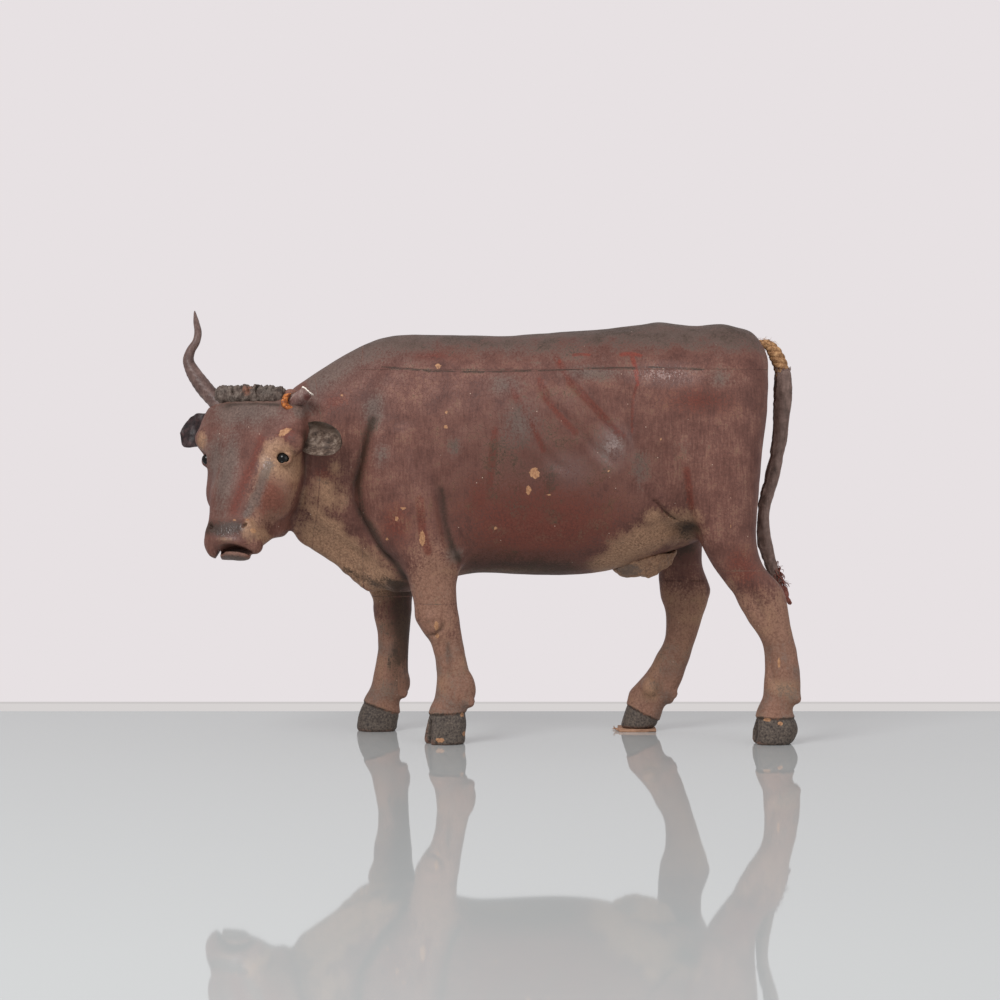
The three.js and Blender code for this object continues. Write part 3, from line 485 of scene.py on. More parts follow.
DEWLAP_EDGE = [(-112, 113), (-101.5, 105.5), (-92, 97.4), (-83, 90), (-77, 87)]
NECK_CREST = [(-114, 206), (-104, 213), (-94, 219.5), (-83.5, 225.6), (-72, 230.2), (-60, 233.7),
              (-50, 234.5)]
HILLS = [  # centre, radii and height
    ((94, 34, 120), (12, 14, 8), -3.0), ((106, 30, 119), (6, 12, 6), -4.0),  # groin
    ((117, 38, 202), (17, 14, 10), 1.6), ((-58, 30, 200), (16, 14, 18), 1.0),  # hip and shoulder
    ((-20, 40, 130), (10, 14, 14), -1.0),  # behind the elbow
    ((93, 0, 238), (9, 22, 8), 0.6), ((127, 0, 238), (9, 22, 8), 0.6),  # loin and rump
]
TAIL_HEAD = ((148, 0, 236), (8, 30, 8), 1.5)

flanks = Carving(skin)
flanks.fold(NECK_FOLD, 2.7, 2.3, lip=2.2, lip_width=6.5, drop=2.0, drop_width=8, end=0.45)
flanks.fold(ELBOW_FOLD, 1.2, 2.2, lip=2.0, lip_width=6, drop=1.9, drop_width=7, start=0.45)
flanks.fold(BLADE_RIDGE, -1.6, 6.0)
for number, path in enumerate(RIB_FOLDS):
    flanks.fold(path, 1.3 - 0.25 * number, 2.6, lip=0.6, lip_width=4, drop=-0.7, drop_width=4)
flanks.fold(FLANK_FOLD, 0.8, 1.6, lip=-0.5, lip_width=8)
flanks.fold(THIGH_FOLD, 1.4, 3.0, lip=-1.4, lip_width=7, drop=-1.2, drop_width=9)
flanks.fold(FLANK_CRACK, 1.8, 1.0, lip=-0.6, lip_width=3.5, drop=-1.0, drop_width=3.5, sides=NEAR,
            end=0.5)
for hill in HILLS:
    flanks.swell(*hill)
flanks.fold(CHEEK_FOLD, 1.0, 1.6, sides=NEAR)
flanks.fold(THROAT_FOLD, 1.2, 2.4, lip=-0.6)
flanks.lift += trunk_part * (0.35 * noise(flanks.points, 17, 1) + 0.22 * noise(flanks.points, 7, 2))
flat = flanks.points[:, [0, 2]]
ridge = fade(1 - np.abs(flanks.normals[:, 1]), 0.1, 0.6)  # 1 along the top and the underside
flanks.lift += 3.9 * fade(stroke(flat, DEWLAP_EDGE, 12), 0, 0.9) * ridge
crest = fade(stroke(flat, NECK_CREST, 14), 0, 0.8) * fade(-flat[:, 0], 40, 70)
flanks.lift += 2.3 * crest * ridge
flanks.lift += 0.9 * fade(stroke(flat, DEWLAP_EDGE, 7), 0, 0.7) * noise(flanks.points, 2.6, 4)
flanks.swell(*TAIL_HEAD)
flanks.cut()
keep_cavity(skin, 5.0, VOXEL)

# %% [markdown]
# ## Where each paint lies
# The figure is painted in oil over a thin ground. Over time the paint changed from place to place:
# dust greyed what faces up, the throat and belly were ochre from the start, red glaze ran over the
# ribs, grease darkened the folds, and knocks bared the wood. Some masks also carry painted light:
# painted shade in the folds, under the belly and brisket, between the legs and on the far foreleg,
# and painted highlights on the varnish. An artist would paint such masks by hand in Texture Paint.
# Here each mask is a number at each point, 1 in the middle of a patch and 0 at its edge, and the
# material breaks the edge up. Tables list the patches and strokes of each paint. A number added to
# a row makes it show more, or less if it is under 0.

# %% Masks of the body
FLANK_PAINT = {  # on the flanks, by x and height
    "dust": [
        ((-71.9, 191.0), (9, 13), 0), ((-25.3, 169.1), (8, 12), -0.4),
        ((2.8, 203.9), (18, 13), -0.35), ((11.2, 181.5), (17, 20), -0.2),
        ((50.6, 211.2), (26, 6), -0.1), ((123.6, 207.9), (12, 12), -0.45),
        ((-66.9, 164.6), (9, 15), -0.45), ((62.9, 170.2), (16, 13), -0.4),
        ((-25.9, 107.8), (7, 6), 0), ((78.7, 156.2), (10, 24), -0.45),
    ],
    "ochre": [
        ([(-112.4, 136.5), (-95.5, 122.4), (-83.2, 107.8)], 9, -0.1),
        ((-98.9, 141.0), (14, 15), -0.1, -25), ((-93.9, 156.2), (10, 12), -0.5),
        ([(62.0, 99.2), (75.1, 112.1), (89.1, 121.5), (103.2, 124.3)], 13, 0),
        ((88.1, 128.1), (10, 8), 0), ((2.8, 97.7), (60, 5), -0.4),
    ],
    "red": [
        ([(5.1, 205.6), (11.8, 192.1), (18.5, 180.9), (24.2, 167.4)], 2.2, 0.15),
        ([(22.5, 206.7), (26.4, 196.1), (33.7, 186.5), (42.2, 177.5)], 2.4, 0.15),
        ([(32.0, 219.1), (39.9, 205.6), (51.7, 193.3), (62.9, 179.8), (68.6, 175.3)], 2.6, 0.15),
        ([(-2.8, 178.6), (-4.5, 161.2), (-6.2, 144.9)], 2.4, 0.15),
        ([(77.0, 204.5), (74.7, 195.5), (74.2, 177.0)], 1.0, 0.15),
        ([(105.1, 156.2), (106.8, 144.9), (107.9, 134.8)], 2.2, 0.15),
        ([(-45.0, 139.3), (-43.8, 122.4), (-40.5, 110.1)], 2.6, 0.15),
        ((22.5, 127.3), (58, 28), 0.1), ((-11.2, 139.3), (18, 30), -0.25),
        ((112.4, 195.5), (34, 14), -0.3), ((137.7, 100.0), (14, 22), -0.2, 30),
        ((-39.3, 220.8), (26, 5), -0.2), ((-59.0, 125.3), (14, 22), -0.25),
        ((-95.5, 195.5), (20, 16), -0.35), ((-100.0, 153.4), (16, 14), -0.35),
    ],
    # Painted shade in the neck and elbow folds and in the groin pit; the short stroke along the
    # flank crack is a real dark crack.
    "grime_and_shade": [
        ([(-72.5, 184.8), (-77.0, 167.4), (-80.9, 147.7), (-78.7, 130.9), (-67.4, 112.3),
          (-54.0, 94.3)], 4.5, -0.25),
        ([(-33.2, 144.9), (-30.9, 128.1), (-27.5, 114.0), (-23.0, 104.5)], 4.0, -0.3),
        ([(92.2, 133.1), (96.7, 129.8), (99.5, 128.1)], 0.8, 0), ((106.8, 122.4), (8, 8), -0.1),
    ],
    "chip": [
        ((19.4, 154.5), (3.4, 4.0), 0), ((16.0, 144.9), (1.9, 3.6), 0),
        ((-35.1, 214.9), (2.3, 1.9), 0), ((-30.6, 180.3), (1.5, 1.3), 0),
        ((-30.3, 188.8), (1.0, 1.0), 0), ((-58.4, 128.6), (1.2, 1.5), 0),
        ((-64.1, 116.8), (1.2, 1.2), 0), ((-43.8, 117.4), (1.8, 5.0), 0),
        ((27.3, 142.1), (1.8, 0.6), 0), ((-2.5, 123.0), (1.0, 1.2), 0),
        ((-89.9, 198.3), (1.0, 0.8), 0), ((90.5, 173.6), (0.8, 0.8), 0),
        ((129.8, 124.7), (0.7, 1.3), 0), ((-54.5, 134.5), (2.0, 1.0), 0),
        ((61.0, 155.6), (0.8, 0.8), 0), ((-36, 68), (1.5, 3.0), 0), ((-35.5, 62), (1.2, 1.6), 0),
        ((-21.5, 17), (1.2, 1.6), 0), ((-20.5, 6), (1.0, 1.8), 0), ((-34, 3), (2.8, 1.5), 0),
        ((151.5, 14.5), (2.6, 1.2), 0), ((158.5, 12.5), (2.0, 1.6), 0), ((158, 47), (1.0, 3.6), 0),
    ],
    "glaze": [
        ([(74.2, 221.9), (76.4, 214.6), (77.6, 204.5)], 1.5, 0),
        ([(68.6, 221.4), (74.2, 221.9), (79.8, 220.8)], 1.5, 0),
        ([(41.6, 221.1), (46.6, 221.6), (51.1, 221.1)], 1.2, -0.2), ((33.7, 216.9), (1.5, 3), -0.2),
        ((105.7, 139.3), (1.6, 4), -0.3),
    ],
    # Varnish patches: glossier in the material, and also given painted highlights, pale glints over
    # the varnish.
    "varnish_and_highlight": [((92.7, 210.1), (27, 9), 0), ((62.9, 169.1), (15, 17), 0),
              ((39.3, 156.2), (26, 18), -0.3)],
}
NECK_TOP = [(-112.4, 201.1), (-92.7, 218.0), (-71.9, 228.7), (-45.0, 232.0)]
THROAT = [(-120.8, 125.3), (-102.3, 114.0), (-87.1, 102.2), (-71.9, 92.1)]
BRISKET = [(-90, 98), (-72, 90), (-58, 85)]
BOARD_SEAM = [  # path, width and seed of the two lengths of crack over the back board's glue line
    ([(-67.4, 214.6), (-39.3, 212.1), (-11.2, 211.5), (11.2, 212.1)], 0.7, 105),
    ([(11.2, 212.1), (33.7, 212.4), (56.2, 213.5), (89.9, 214.1), (114.6, 212.9)], 0.6, 106),
]


def body_masks(p, n):
    """One value at each point for each paint of the trunk, neck and legs, from place and normal."""
    x, y, z = p.T
    side = p[:, [0, 2]]
    near, inside = 2 * (fade(-y, -3, 3) - 1), fade(y, 5, 14)
    up, under = fade(n[:, 2], 0.15, 0.8), fade(-n[:, 2], 0.3, 0.95)
    crest = fade(z, 212, 236) * 0.9 - 0.45 + 0.3 * up
    shank = fade(16 * fade(x, 20, 70) - z, -108, -30)
    more = {
        "dust": [crest + 0.35 * noise(p * (0.4, 1, 1), 13, 101) + 0.2 * noise(p, 5, 104),
                 stroke(side, NECK_TOP, 15) * 0.9,
                 1.3 * fade(-z, -76, -56) - 1.2 + 0.6 * noise(p, 7, 107)],
        "ochre": [stroke(side, THROAT, 17) + 0.1 * noise(p, 9, 102),
                  shank * (0.2 + 0.5 * noise(p, 11, 103)) - 0.2],
        "shank": [2.2 * shank - 1.1, 0.2 + patch(side, (-36.5, 84.2), (13, 24)) + near],
        "grime_and_shade": [
            # Painted shade on the underside of the belly and between the forelegs.
            under * fade(z, 76, 84) * (1 - fade(x, 30, 70)) * (1 - fade(-x, 12, 30)) * 0.9 - 0.35,
            patch(side, (-59.3, 89.3), (10, 9)) + 2 * (fade(y, -26, -18) - 1),
            # Painted shade on the far foreleg, where the near leg and the trunk shade it.
            1.2 * patch(side, (-57, 60), (11, 44)) + 2 * (fade(y, 10, 18) - 1),
            # A broad darker patch over the middle of the flank, and a darker crest.
            0.42 * patch(side, (22, 156), (66, 46)) - 0.12, 0.5 * crest - 0.08,
            *[stroke(side, path, width) + 0.5 * noise(p * (0.16, 1, 1), 1, seed)
              for path, width, seed in BOARD_SEAM],
            # Painted shade on the far side, in the groin and behind the forelegs, and under the
            # brisket.
            patch(side, (106.8, 112.3), (12, 14)) * inside + 0.3 * inside - 0.3,
            patch(side, (-54.0, 87.6), (13, 13)) * inside + 0.7 * inside - 0.4,
            stroke(side, BRISKET, 4) * 0.8 - 0.3,
        ],
    }
    masks = {name: most(*table(side, FLANK_PAINT.get(name, [])), *more.get(name, []))
             for name in {**FLANK_PAINT, **more}}
    masks["chip"] = np.clip(2.5 * masks["chip"] + near, -1, 1)
    masks["glaze"] += near
    masks["hoof"] = np.full(len(p), -1.0)
    return masks


# %% Masks of the head
FACE_PAINT = {  # on the face, by the x and z of the head's own axes
    "dust": [
        ((-1, -11), (30, 15), 0.1), ((-4, -48), (9, 36), 0), ((-14, -40), (12, 22), -0.1),
        ([(21.5, -44), (16.4, -59.7), (12.3, -73.2)], 3.2, 0), ((5, -97.5), (12, 4.5), 0.3),
    ],
    "ochre": [
        ((26.0, -41), (10.5, 11), 0.2), ((-27, -29), (6, 9), -0.3), ((2, -88.5), (17, 4.5), -0.55),
        ((15, -81), (5, 8), 0), ((21, -80), (12, 5), -0.1, 40),
    ],
    "red": [
        ([(15, -30), (13, -42), (7.7, -57.9), (4.4, -71)], 5.2, -0.15),
        ((22, -60), (8.5, 15), -0.05, -12), ((29, -26), (7, 7), 0), ((31, -50), (5, 12), -0.3),
    ],
    # Darker strokes across the muzzle, over the mouth and under the curls.
    "grime_and_shade": [
        ([(-10, -81.5), (0, -83), (9, -81)], 5.2, 0.1), ((2, -90), (17, 4), -0.45),
        ((-14, -8), (10, 5), -0.4), ([(-14, -8), (4, -7.5), (20, -8)], 2.2, -0.35),
    ],
    "chip": [
        ((28.2, -24.6), (4.6, 2.4), 0, 35), ((35.5, -15), (0.9, 3.4), 0),
        ((14, -76.5), (1.0, 0.8), 0), ((17, -82), (1.0, 1.8), 0), ((6, -77), (1.6, 0.6), 0),
    ],
    # Varnish on the face, glossier and with painted highlights.
    "varnish_and_highlight": [((20, -45), (8, 10), -0.2), ((4, -84), (15, 7), 0)],
}
THROAT_PAINT = {  # where head and neck meet, by x and height
    "dust": [([(-118.0, 195.5), (-112.4, 188.8), (-105.7, 193.3)], 5, 0)],
    "ochre": [([(-120.8, 114.0), (-114.1, 130.9), (-111.3, 144.9)], 7, 0)],
    # Painted shadow along the fold behind the cheek.
    "grime_and_shade": [([(-110, 178), (-110.5, 166), (-111, 152)], 2, -0.3)],
}
FACE_SHARE = {"dust": 1, "ochre": 0.5, "red": 0.5, "grime_and_shade": 0, "chip": 1, "shank": 1, "varnish_and_highlight": 1}
CHIP_EDGE = 2  # makes the edges of the chips that much steeper
BROWN_CHEEK = ((25, -62), (9, 17))  # centre and radii


def head_masks(p, n):
    """The same paints on the head, seen from its front in its own axes. FACE_SHARE says how far
    each keeps to the face, and behind the cheeks all of them fade into the neck's."""
    q = in_head(p)
    front, side = q[:, [0, 2]], p[:, [0, 2]]
    masks = body_masks(p, n)
    behind = fade(((p - MITRE_AT) @ MITRE)[:, 0], -14, -1)
    face = 1.5 * (1 - fade(q[:, 1], 4, 16)) - 1.5
    own = {name: most(*table(front, rows), *table(side, THROAT_PAINT.get(name, [])))
           for name, rows in FACE_PAINT.items()}
    own["chip"] *= CHIP_EDGE
    own["shank"] = patch(front, *BROWN_CHEEK) + 0.25
    for name, mask in own.items():
        masks[name] = masks[name] * behind + (mask + FACE_SHARE[name] * face) * (1 - behind)
    return masks


lay(skin, body_masks(points_of(skin), normals_of(skin)))
print("masks:", [layer.name for layer in skin.attributes])

# %% [markdown]
# ## Cutting the figure into its blocks
# The smooth skin is now sawn along the glue lines of the CAD part, so that each block has its own
# piece. A Boolean modifier does the sawing with plain boxes. The head's saw cut is turned a
# little, because the carver mitred the neck to turn the head towards the people in front of the
# crib.

# %% Saw the skin
SOLVER = "MANIFOLD"


def slab(low, high, turn=None, at=None):
    """A box from low to high, in mm, turned by a matrix and then moved to at."""
    work = bmesh.new()
    bmesh.ops.create_cube(work, size=1.0)
    mesh = bpy.data.meshes.new("slab")
    work.to_mesh(mesh)
    work.free()
    corners = np.array([v.co for v in mesh.vertices]) + 0.5
    corners = np.array(low) + corners * (np.array(high) - np.array(low))
    if turn is not None:
        corners = corners @ turn.T + at
    set_points(mesh, corners)
    return mesh


def sawn(mesh, tool, how="INTERSECT"):
    """The part of a closed mesh inside a tool mesh, or outside it with how='DIFFERENCE'."""
    saw = seen("saw", tool)
    done = applied(mesh, "BOOLEAN", object=saw, operation=how, solver=SOLVER)
    bpy.data.objects.remove(saw)
    return done


BOARD_JOINT_Z = 213
NECK_JOINT_X = -79
FORE_JOINT_Z = 80
HIND_JOINT_Z = 99
HEAD_AT = (-138, -18, 198)  # the poll
HEAD_TURN = np.array(Matrix.Rotation(math.radians(-28), 3, "Z")
                     @ Matrix.Rotation(math.radians(-18), 3, "X"))
MITRE_AT = (-106, -18, 198)
MITRE = np.array(Matrix.Rotation(math.radians(18), 3, "Z"))
GLUE_LINE = 0.03
BOARD_GAP = 0.05  # mm on each side of the line; dirt painted along it makes the crack that shows

NECK_BOTTOM_Z = 82  # the brisket ends above this, and the far hoof reaches forward below it
NECK_SPARE = 12  # mm of trunk kept on the neck until the last saw cut
front = slab((-FAR, -FAR, NECK_BOTTOM_Z), (NECK_JOINT_X + NECK_SPARE, FAR, FAR))
head_and_neck = sawn(skin, front)
rear = sawn(skin, slab((-FAR, -FAR, NECK_BOTTOM_Z), (NECK_JOINT_X, FAR, FAR)), "DIFFERENCE")
print("head and neck:", len(head_and_neck.polygons), "rear:", len(rear.polygons))

# %% [markdown]
# ## The head: adding clay and cutting it away
# The face was carved with more care than the rest. Brows, lids, cheeks, nose and lips are lumps
# that sit on the plain block of the CAD part, and the mouth, the nostrils and the slits of the
# eyes are cuts. Both are easy with closed shapes: lumps are joined in, cuts are sawn out, and a
# finer voxel remesh melts them into one skin. Lump sizes and places are in the head's own axes: x
# towards its left cheek, y into the head, z up, from the poll.

# %% Lumps and cuts of the face
FINE_VOXEL = 0.62  # mm, for face and legs


def place_head(points):
    """From the head's own axes to the carver's."""
    return points @ HEAD_TURN.T + HEAD_AT


def in_head(points):
    """From the carver's axes to the head's own."""
    return (points - HEAD_AT) @ HEAD_TURN


def place_carver(points):
    """For shapes that are given in the carver's own axes."""
    return points


def ellipsoid(centre, radii, tip=0.0, place=place_head, rings=24, sides=32):
    """Rings of latitude, each a circle of longitude, stretched to three radii, tipped about the
    axis that runs into the head, and put in place."""
    across = np.linspace(0, np.pi, rings + 2)[1:-1, None]
    around = np.linspace(0, 2 * np.pi, sides, endpoint=False)[None]
    ball = np.stack([np.sin(across) * np.cos(around), np.sin(across) * np.sin(around),
                     np.cos(across) + 0 * around], axis=-1)
    turn = np.array(Matrix.Rotation(math.radians(tip), 3, "Y"))
    return closed_grid("lump", place((ball * radii) @ turn.T + centre))


def arch(path, thickness, depth_from, depth_to, slant=(0, 0)):
    """A slot in the face: a curved strip along a path of x and z, from one depth to another. slant
    is how far it moves in x and z for each millimetre of depth."""
    path = np.array(path, float)
    along = np.gradient(path, axis=0)
    along /= np.hypot(*along.T)[:, None]
    side = np.stack([-along[:, 1], along[:, 0]], axis=1)
    half = 0.5 * np.asarray(thickness)[:, None] * side
    corners = np.stack([path + half, path - half, path - half, path + half], axis=1)
    depth = np.array([depth_from, depth_from, depth_to, depth_to]) + np.zeros(corners.shape[:2])
    grid = np.stack([corners[..., 0] + slant[0] * depth, depth, corners[..., 1] + slant[1] * depth],
                    axis=-1)
    return closed_grid("slot", place_head(grid))


SOFT_LUMPS = [
    ((27, -3.6, -26.5), (11.5, 6.6, 8.2), 28), ((-26, -4, -27), (9, 8, 8), -25),
    ((20, 8, -50), (10, 16, 21), 8), ((-20, 8, -50), (10, 16, 21), -8),
    ((-1, -6, -56), (11, 8, 27), 3),
    ((11, -5, -82), (7, 6.6, 7.5), 0), ((-10, -5, -83), (6.6, 6.4, 7.5), 0),
    ((2, 2, -88), (11, 9, 6), 0),
]
FIRM_LUMPS = [
    ((1, -5.4, -88.6), (15, 6.4, 4.8), 0), ((14.6, -0.5, -88), (4.6, 6.5, 5.6), 0),
    ((-9.5, -3.5, -91.5), (4, 5, 5.6), 0),
    ((5.6, -2.2, -95.3), (8.8, 6.2, 2.5), 0),
    ((13, -8.6, -79), (3.6, 2.6, 4.2), -20), ((-9.5, -8.4, -80), (3.4, 2.6, 4.2), 20),
]
EYES = {"left_eye": 1, "right_eye": -1}
EYE_MOVED = {"left_eye": (0, 0, 0), "right_eye": (2.4, 0.9, -0.4)}  # mm, as the sockets are carved


def melted(mesh, reach, *lumps):
    """A mesh and lumps in one new skin of small squares, sanded over a reach in mm."""
    skin = applied(joined(mesh, *lumps), "REMESH", mode="VOXEL", voxel_size=FINE_VOXEL * MM)
    points = points_of(skin)
    set_points(skin, sanded(points, edges_of(skin), np.full(len(points), reach), FINE_VOXEL))
    return skin


face = melted(head_and_neck, 2.2, *[ellipsoid(*lump) for lump in SOFT_LUMPS])
face.name = "face"
JAW_FOLD = [(-108.5, 178), (-109, 166), (-109.6, 155), (-111, 145), (-114, 135), (-118.5, 126),
            (-123, 117)]
NOSE_FOLD = [(-130, 158), (-136, 144), (-142, 131)]
CHEEK_LINE = [(-122, 120), (-129, 128), (-134, 134)]
JAW_LINE = [(-137.5, 108), (-134, 111), (-130, 114.5)]
FAR_HOLLOWS = [(3.2, -50, 13), (1.6, -78, 12)]  # depth, height and reach, below the far cheekbone
cheeks = Carving(face)
cheeks.fold(JAW_FOLD, 1.9, 1.5, lip=0.6, lip_width=5, drop=1.0, drop_width=6, sides=NEAR,
            start=0.25)
cheeks.fold(NOSE_FOLD, 0.7, 3.4, sides=NEAR, start=0.4, end=0.4)
cheeks.fold(CHEEK_LINE, -0.8, 2.4, sides=NEAR)
local = in_head(cheeks.points)
hollow = sum(deep * bell(local[:, 2], z, reach) for deep, z, reach in FAR_HOLLOWS)
cheeks.lift -= hollow * fade(-local[:, 0], 9, 19)
jaw = stroke(cheeks.points[:, [0, 2]], JAW_LINE, 8)
cheeks.lift -= 3.6 * fade(jaw, 0, 0.8) * fade(-cheeks.normals[:, 2], 0, 0.6)
cheeks.cut()

# %% Lids, lips and the cuts of the face
MOUTH_MIDDLE, MOUTH_HALF, MOUTH_RISE = (5.8, -95.8), 11.5, 3.5
x = np.linspace(-4.5, 17.5, 12)
bow = np.sqrt(np.clip(1 - ((x - MOUTH_MIDDLE[0]) / MOUTH_HALF) ** 2, 0, 1))
mouth = np.stack([x, MOUTH_MIDDLE[1] + MOUTH_RISE * bow], axis=1)
LIP_CORNER = [(-8.4, -99), (-8.0, -95), (-7.4, -91.6)]
cuts = [arch(mouth, 3.6 - 0.018 * (x - 6) ** 2, -30, -1.0),
        arch(LIP_CORNER, [4.5, 2.8, 1.6], -20, 24, slant=(-0.56, 0.325)),
        ellipsoid((13, -12.6, -79.6), (2.4, 3.8, 1.4), -35),
        ellipsoid((-9.6, -12.6, -81), (2.4, 3.8, 1.4), 35)]
lumps = [ellipsoid(*lump) for lump in FIRM_LUMPS]
LID_OPENING = (3.5, 2.5)  # half width and half height
LID_RADII = (5.2, 4.2, 4.3)
SUNK = {1: 0.6, -1: 2.6}  # mm that the lids lie behind the ball, so that the far eye bulges free
t = np.linspace(0, 2 * np.pi, 28, endpoint=False)[None]
depth = np.array([[-9.0], [-4.0], [-1.0], [2.5]])
wide = np.array([[1.35], [1.1], [1.0], [0.9]])
for node, side in EYES.items():
    low, high = box_mm(node)
    ball = in_head((low + high) / 2 - ZERO) + EYE_MOVED[node]
    lumps.append(ellipsoid(ball + (0, SUNK[side], 0), LID_RADII))
    out = np.array([0.5 * side, -0.85, 0])
    across = np.array([0.85, 0.5 * side, -0.1 * side])
    almond = (LID_OPENING[0] * np.cos(t) * wide)[..., None] * across
    tall = LID_OPENING[1] * np.sin(t) * (1 - 0.25 * np.cos(t)) * wide
    almond = almond + tall[..., None] * (0, 0, 1)
    almond = almond - (depth + 0 * t)[..., None] * out
    cuts.append(closed_grid("lids", place_head(ball + almond)))
face = melted(face, 1.1, *lumps)
for cutter in cuts:
    face = sawn(face, cutter, "DIFFERENCE")
face = melted(face, 0.7)
wrapped(face, skin, lambda p: fade(p[:, 0], -93, -83))
keep_cavity(face, 4.0, FINE_VOXEL)
lay(face, head_masks(points_of(face), normals_of(face)))
print("face:", len(face.polygons), "squares")

# %% [markdown]
# ## Legs and hooves
# Each leg is one block, from the hoof to the glue line under the belly. The back of the fetlock
# runs out to a wedge with a sharp lower edge, which is where a calf's small rear claws sit. The
# hoof is a step smaller than the hair above it, and the two near hooves show their cleft.

# %% Carve the legs
TOP_SPARE = 2.0  # mm of trunk kept on each leg until the last saw cut
LEGS = {
    "left_foreleg": {
        "blocks": [((-FAR, -FAR, -1), (50, 0, FORE_JOINT_Z))],
        "lumps": [((-19.6, -31, 33.5), (5.2, 6.5, 10), -14), ((-38.7, -33, 69), (5.5, 7, 9), 0)],
        "swells": [((-41, 31, 7), (5, 10, 8), 1.3)],
        "cuts": [((-60, -60, -2), (-38.4, -31.4, 14.5)), ((-60, -32.4, -2), (-34, -30.6, 15.5))],
        "coronet": (-30, 17.6, 0.06),
        "folds": [([(-42, 62.5), (-37, 62.3), (-32.8, 66.5), (-32, 72)], 1.0, 1.2),
                  ([(-30, 62), (-29, 50), (-27.4, 34)], 0.8, 1.8),
                  ([(-43.8, 78), (-40.5, 74), (-38.2, 70)], -0.6, 2.5)],
    },
    "right_foreleg": {
        "blocks": [((-FAR, 0, -1), (50, FAR, FORE_JOINT_Z))],
        "lumps": [((-59, 31, 31), (5.2, 6.5, 9.5), -14)],
        "swells": [((-83, 31, 10), (6, 10, 12), 1.4)],
        "cuts": [],
        "coronet": (-70, 13.8, -0.33),
        "folds": [([(-66, 66), (-65, 50), (-64, 30)], 0.8, 2.2)],
    },
    "left_hind_leg": {
        "blocks": [((88, -FAR, -1), (FAR, -16, HIND_JOINT_Z))],
        "lumps": [((165.6, -31, 35), (4.6, 6, 10), -12)],
        "swells": [((170, 31, 8), (5, 10, 7), 1.5), ((167, 31, 52), (7, 12, 22), 0.8),
                   ((139, 31, 72), (8, 12, 16), -0.9)],
        "cuts": [((130, -60, -2), (146.2, -31.6, 14.5)), ((130, -32.8, -2), (150, -30.8, 15.5))],
        "coronet": (155, 15.2, 0),
        "folds": [([(150, 62), (153, 48), (156, 30)], 0.8, 2.0),
                  ([(140, 92), (147, 80), (152, 66)], 0.7, 2.6)],
    },
    "right_hind_leg": {
        "blocks": [((60, 16, -1), (FAR, FAR, 90)), ((88, 16, 89), (FAR, FAR, HIND_JOINT_Z))],
        "lumps": [((98.4, 31, 25), (4.6, 6, 9.5), -16), ((88.6, 28, 26), (5, 6, 6), 0)],
        "swells": [((121, 31, 78), (7, 12, 16), 1.2), ((111, 31, 50), (7, 12, 22), 1.2)],
        "cuts": [],
        "coronet": (84, 11.2, -0.5), "sole": 1.9,
        "folds": [([(76, 19), (82, 18), (87, 13.5)], 1.0, 1.4)],
    },
}
LEDGE = 0.7  # mm that the hoof is sunk below its upper edge
DEEPER = 1.5  # times the depth that a leg's folds are given with
LEG_GROWTH = 0.3  # mm of ground and paint


def above_hoof(points, middle, height, slope):
    """Height over the upper edge of the hoof, which climbs by slope with x."""
    return points[:, 2] - height - slope * (points[:, 0] - middle)


def ledge(carving, coronet, depth):
    """Sinks the hoof below its upper edge, with a groove along the edge."""
    z = above_hoof(carving.points, *coronet)
    carving.lift -= depth * (1 - fade(z, -0.8, 0.5)) * fade(carving.points[:, 2], 1.0, 6.0)
    carving.lift -= 0.2 * depth * bell(z, -0.6, 0.8)


def boxes(blocks, spare):
    """Slabs from corners, each a little taller by spare."""
    return [slab(low, (high[0], high[1], high[2] + spare)) for low, high in blocks]


def carved_limb(name, leg):
    """A leg cut from the rear skin, with its lumps, cuts and folds, and its top still too long."""
    rough = [sawn(rear, box) for box in boxes(leg["blocks"], TOP_SPARE)]
    lumps = [ellipsoid(*lump, place=place_carver) for lump in leg["lumps"]]
    limb = melted(joined(*rough), 1.0, *lumps)
    for low, high in leg["cuts"]:
        limb = sawn(limb, slab(low, high), "DIFFERENCE")
    limb = melted(limb, 0.9)
    limb.name = name
    carving = Carving(limb)
    for path, depth, width in leg["folds"]:
        carving.fold(path, DEEPER * depth, width, start=0.3, end=0.3)
    side = round(np.sign(points_of(limb)[:, 1].mean()))
    for centre, radii, height in leg["swells"]:
        carving.swell(centre, radii, height, sides=(side,))
    ledge(carving, leg["coronet"], LEDGE)
    carving.lift += LEG_GROWTH + 0.2 * noise(carving.points, 6, 3)
    carving.cut()
    joint = leg["blocks"][-1][1][2]
    wrapped(limb, rear, lambda p: fade(p[:, 2], joint - 10, joint - 2))
    points = points_of(limb)
    points[:, 2] = np.maximum(points[:, 2], leg.get("sole", 0.0))
    set_points(limb, points)
    keep_cavity(limb, 4.0, FINE_VOXEL, joint)
    masks = body_masks(points, normals_of(limb))
    above = above_hoof(points, *leg["coronet"])
    masks["hoof"] = np.clip(-above / 3, -1, 1)
    masks["grime_and_shade"] = np.maximum(masks["grime_and_shade"], 0.6 - np.abs(above) / 1.4)
    lay(limb, masks)
    return limb


carved = {}
trunk = rear
for name, leg in LEGS.items():
    limb = carved_limb(name, leg)
    saws = boxes(leg["blocks"], -GLUE_LINE)
    carved[name] = sawn(limb, saws[0]) if len(saws) == 1 else joined(*[sawn(limb, s) for s in saws])
    for box in boxes(leg["blocks"], 0):
        trunk = sawn(trunk, box, "DIFFERENCE")
print("legs:", {name: len(mesh.polygons) for name, mesh in carved.items()})

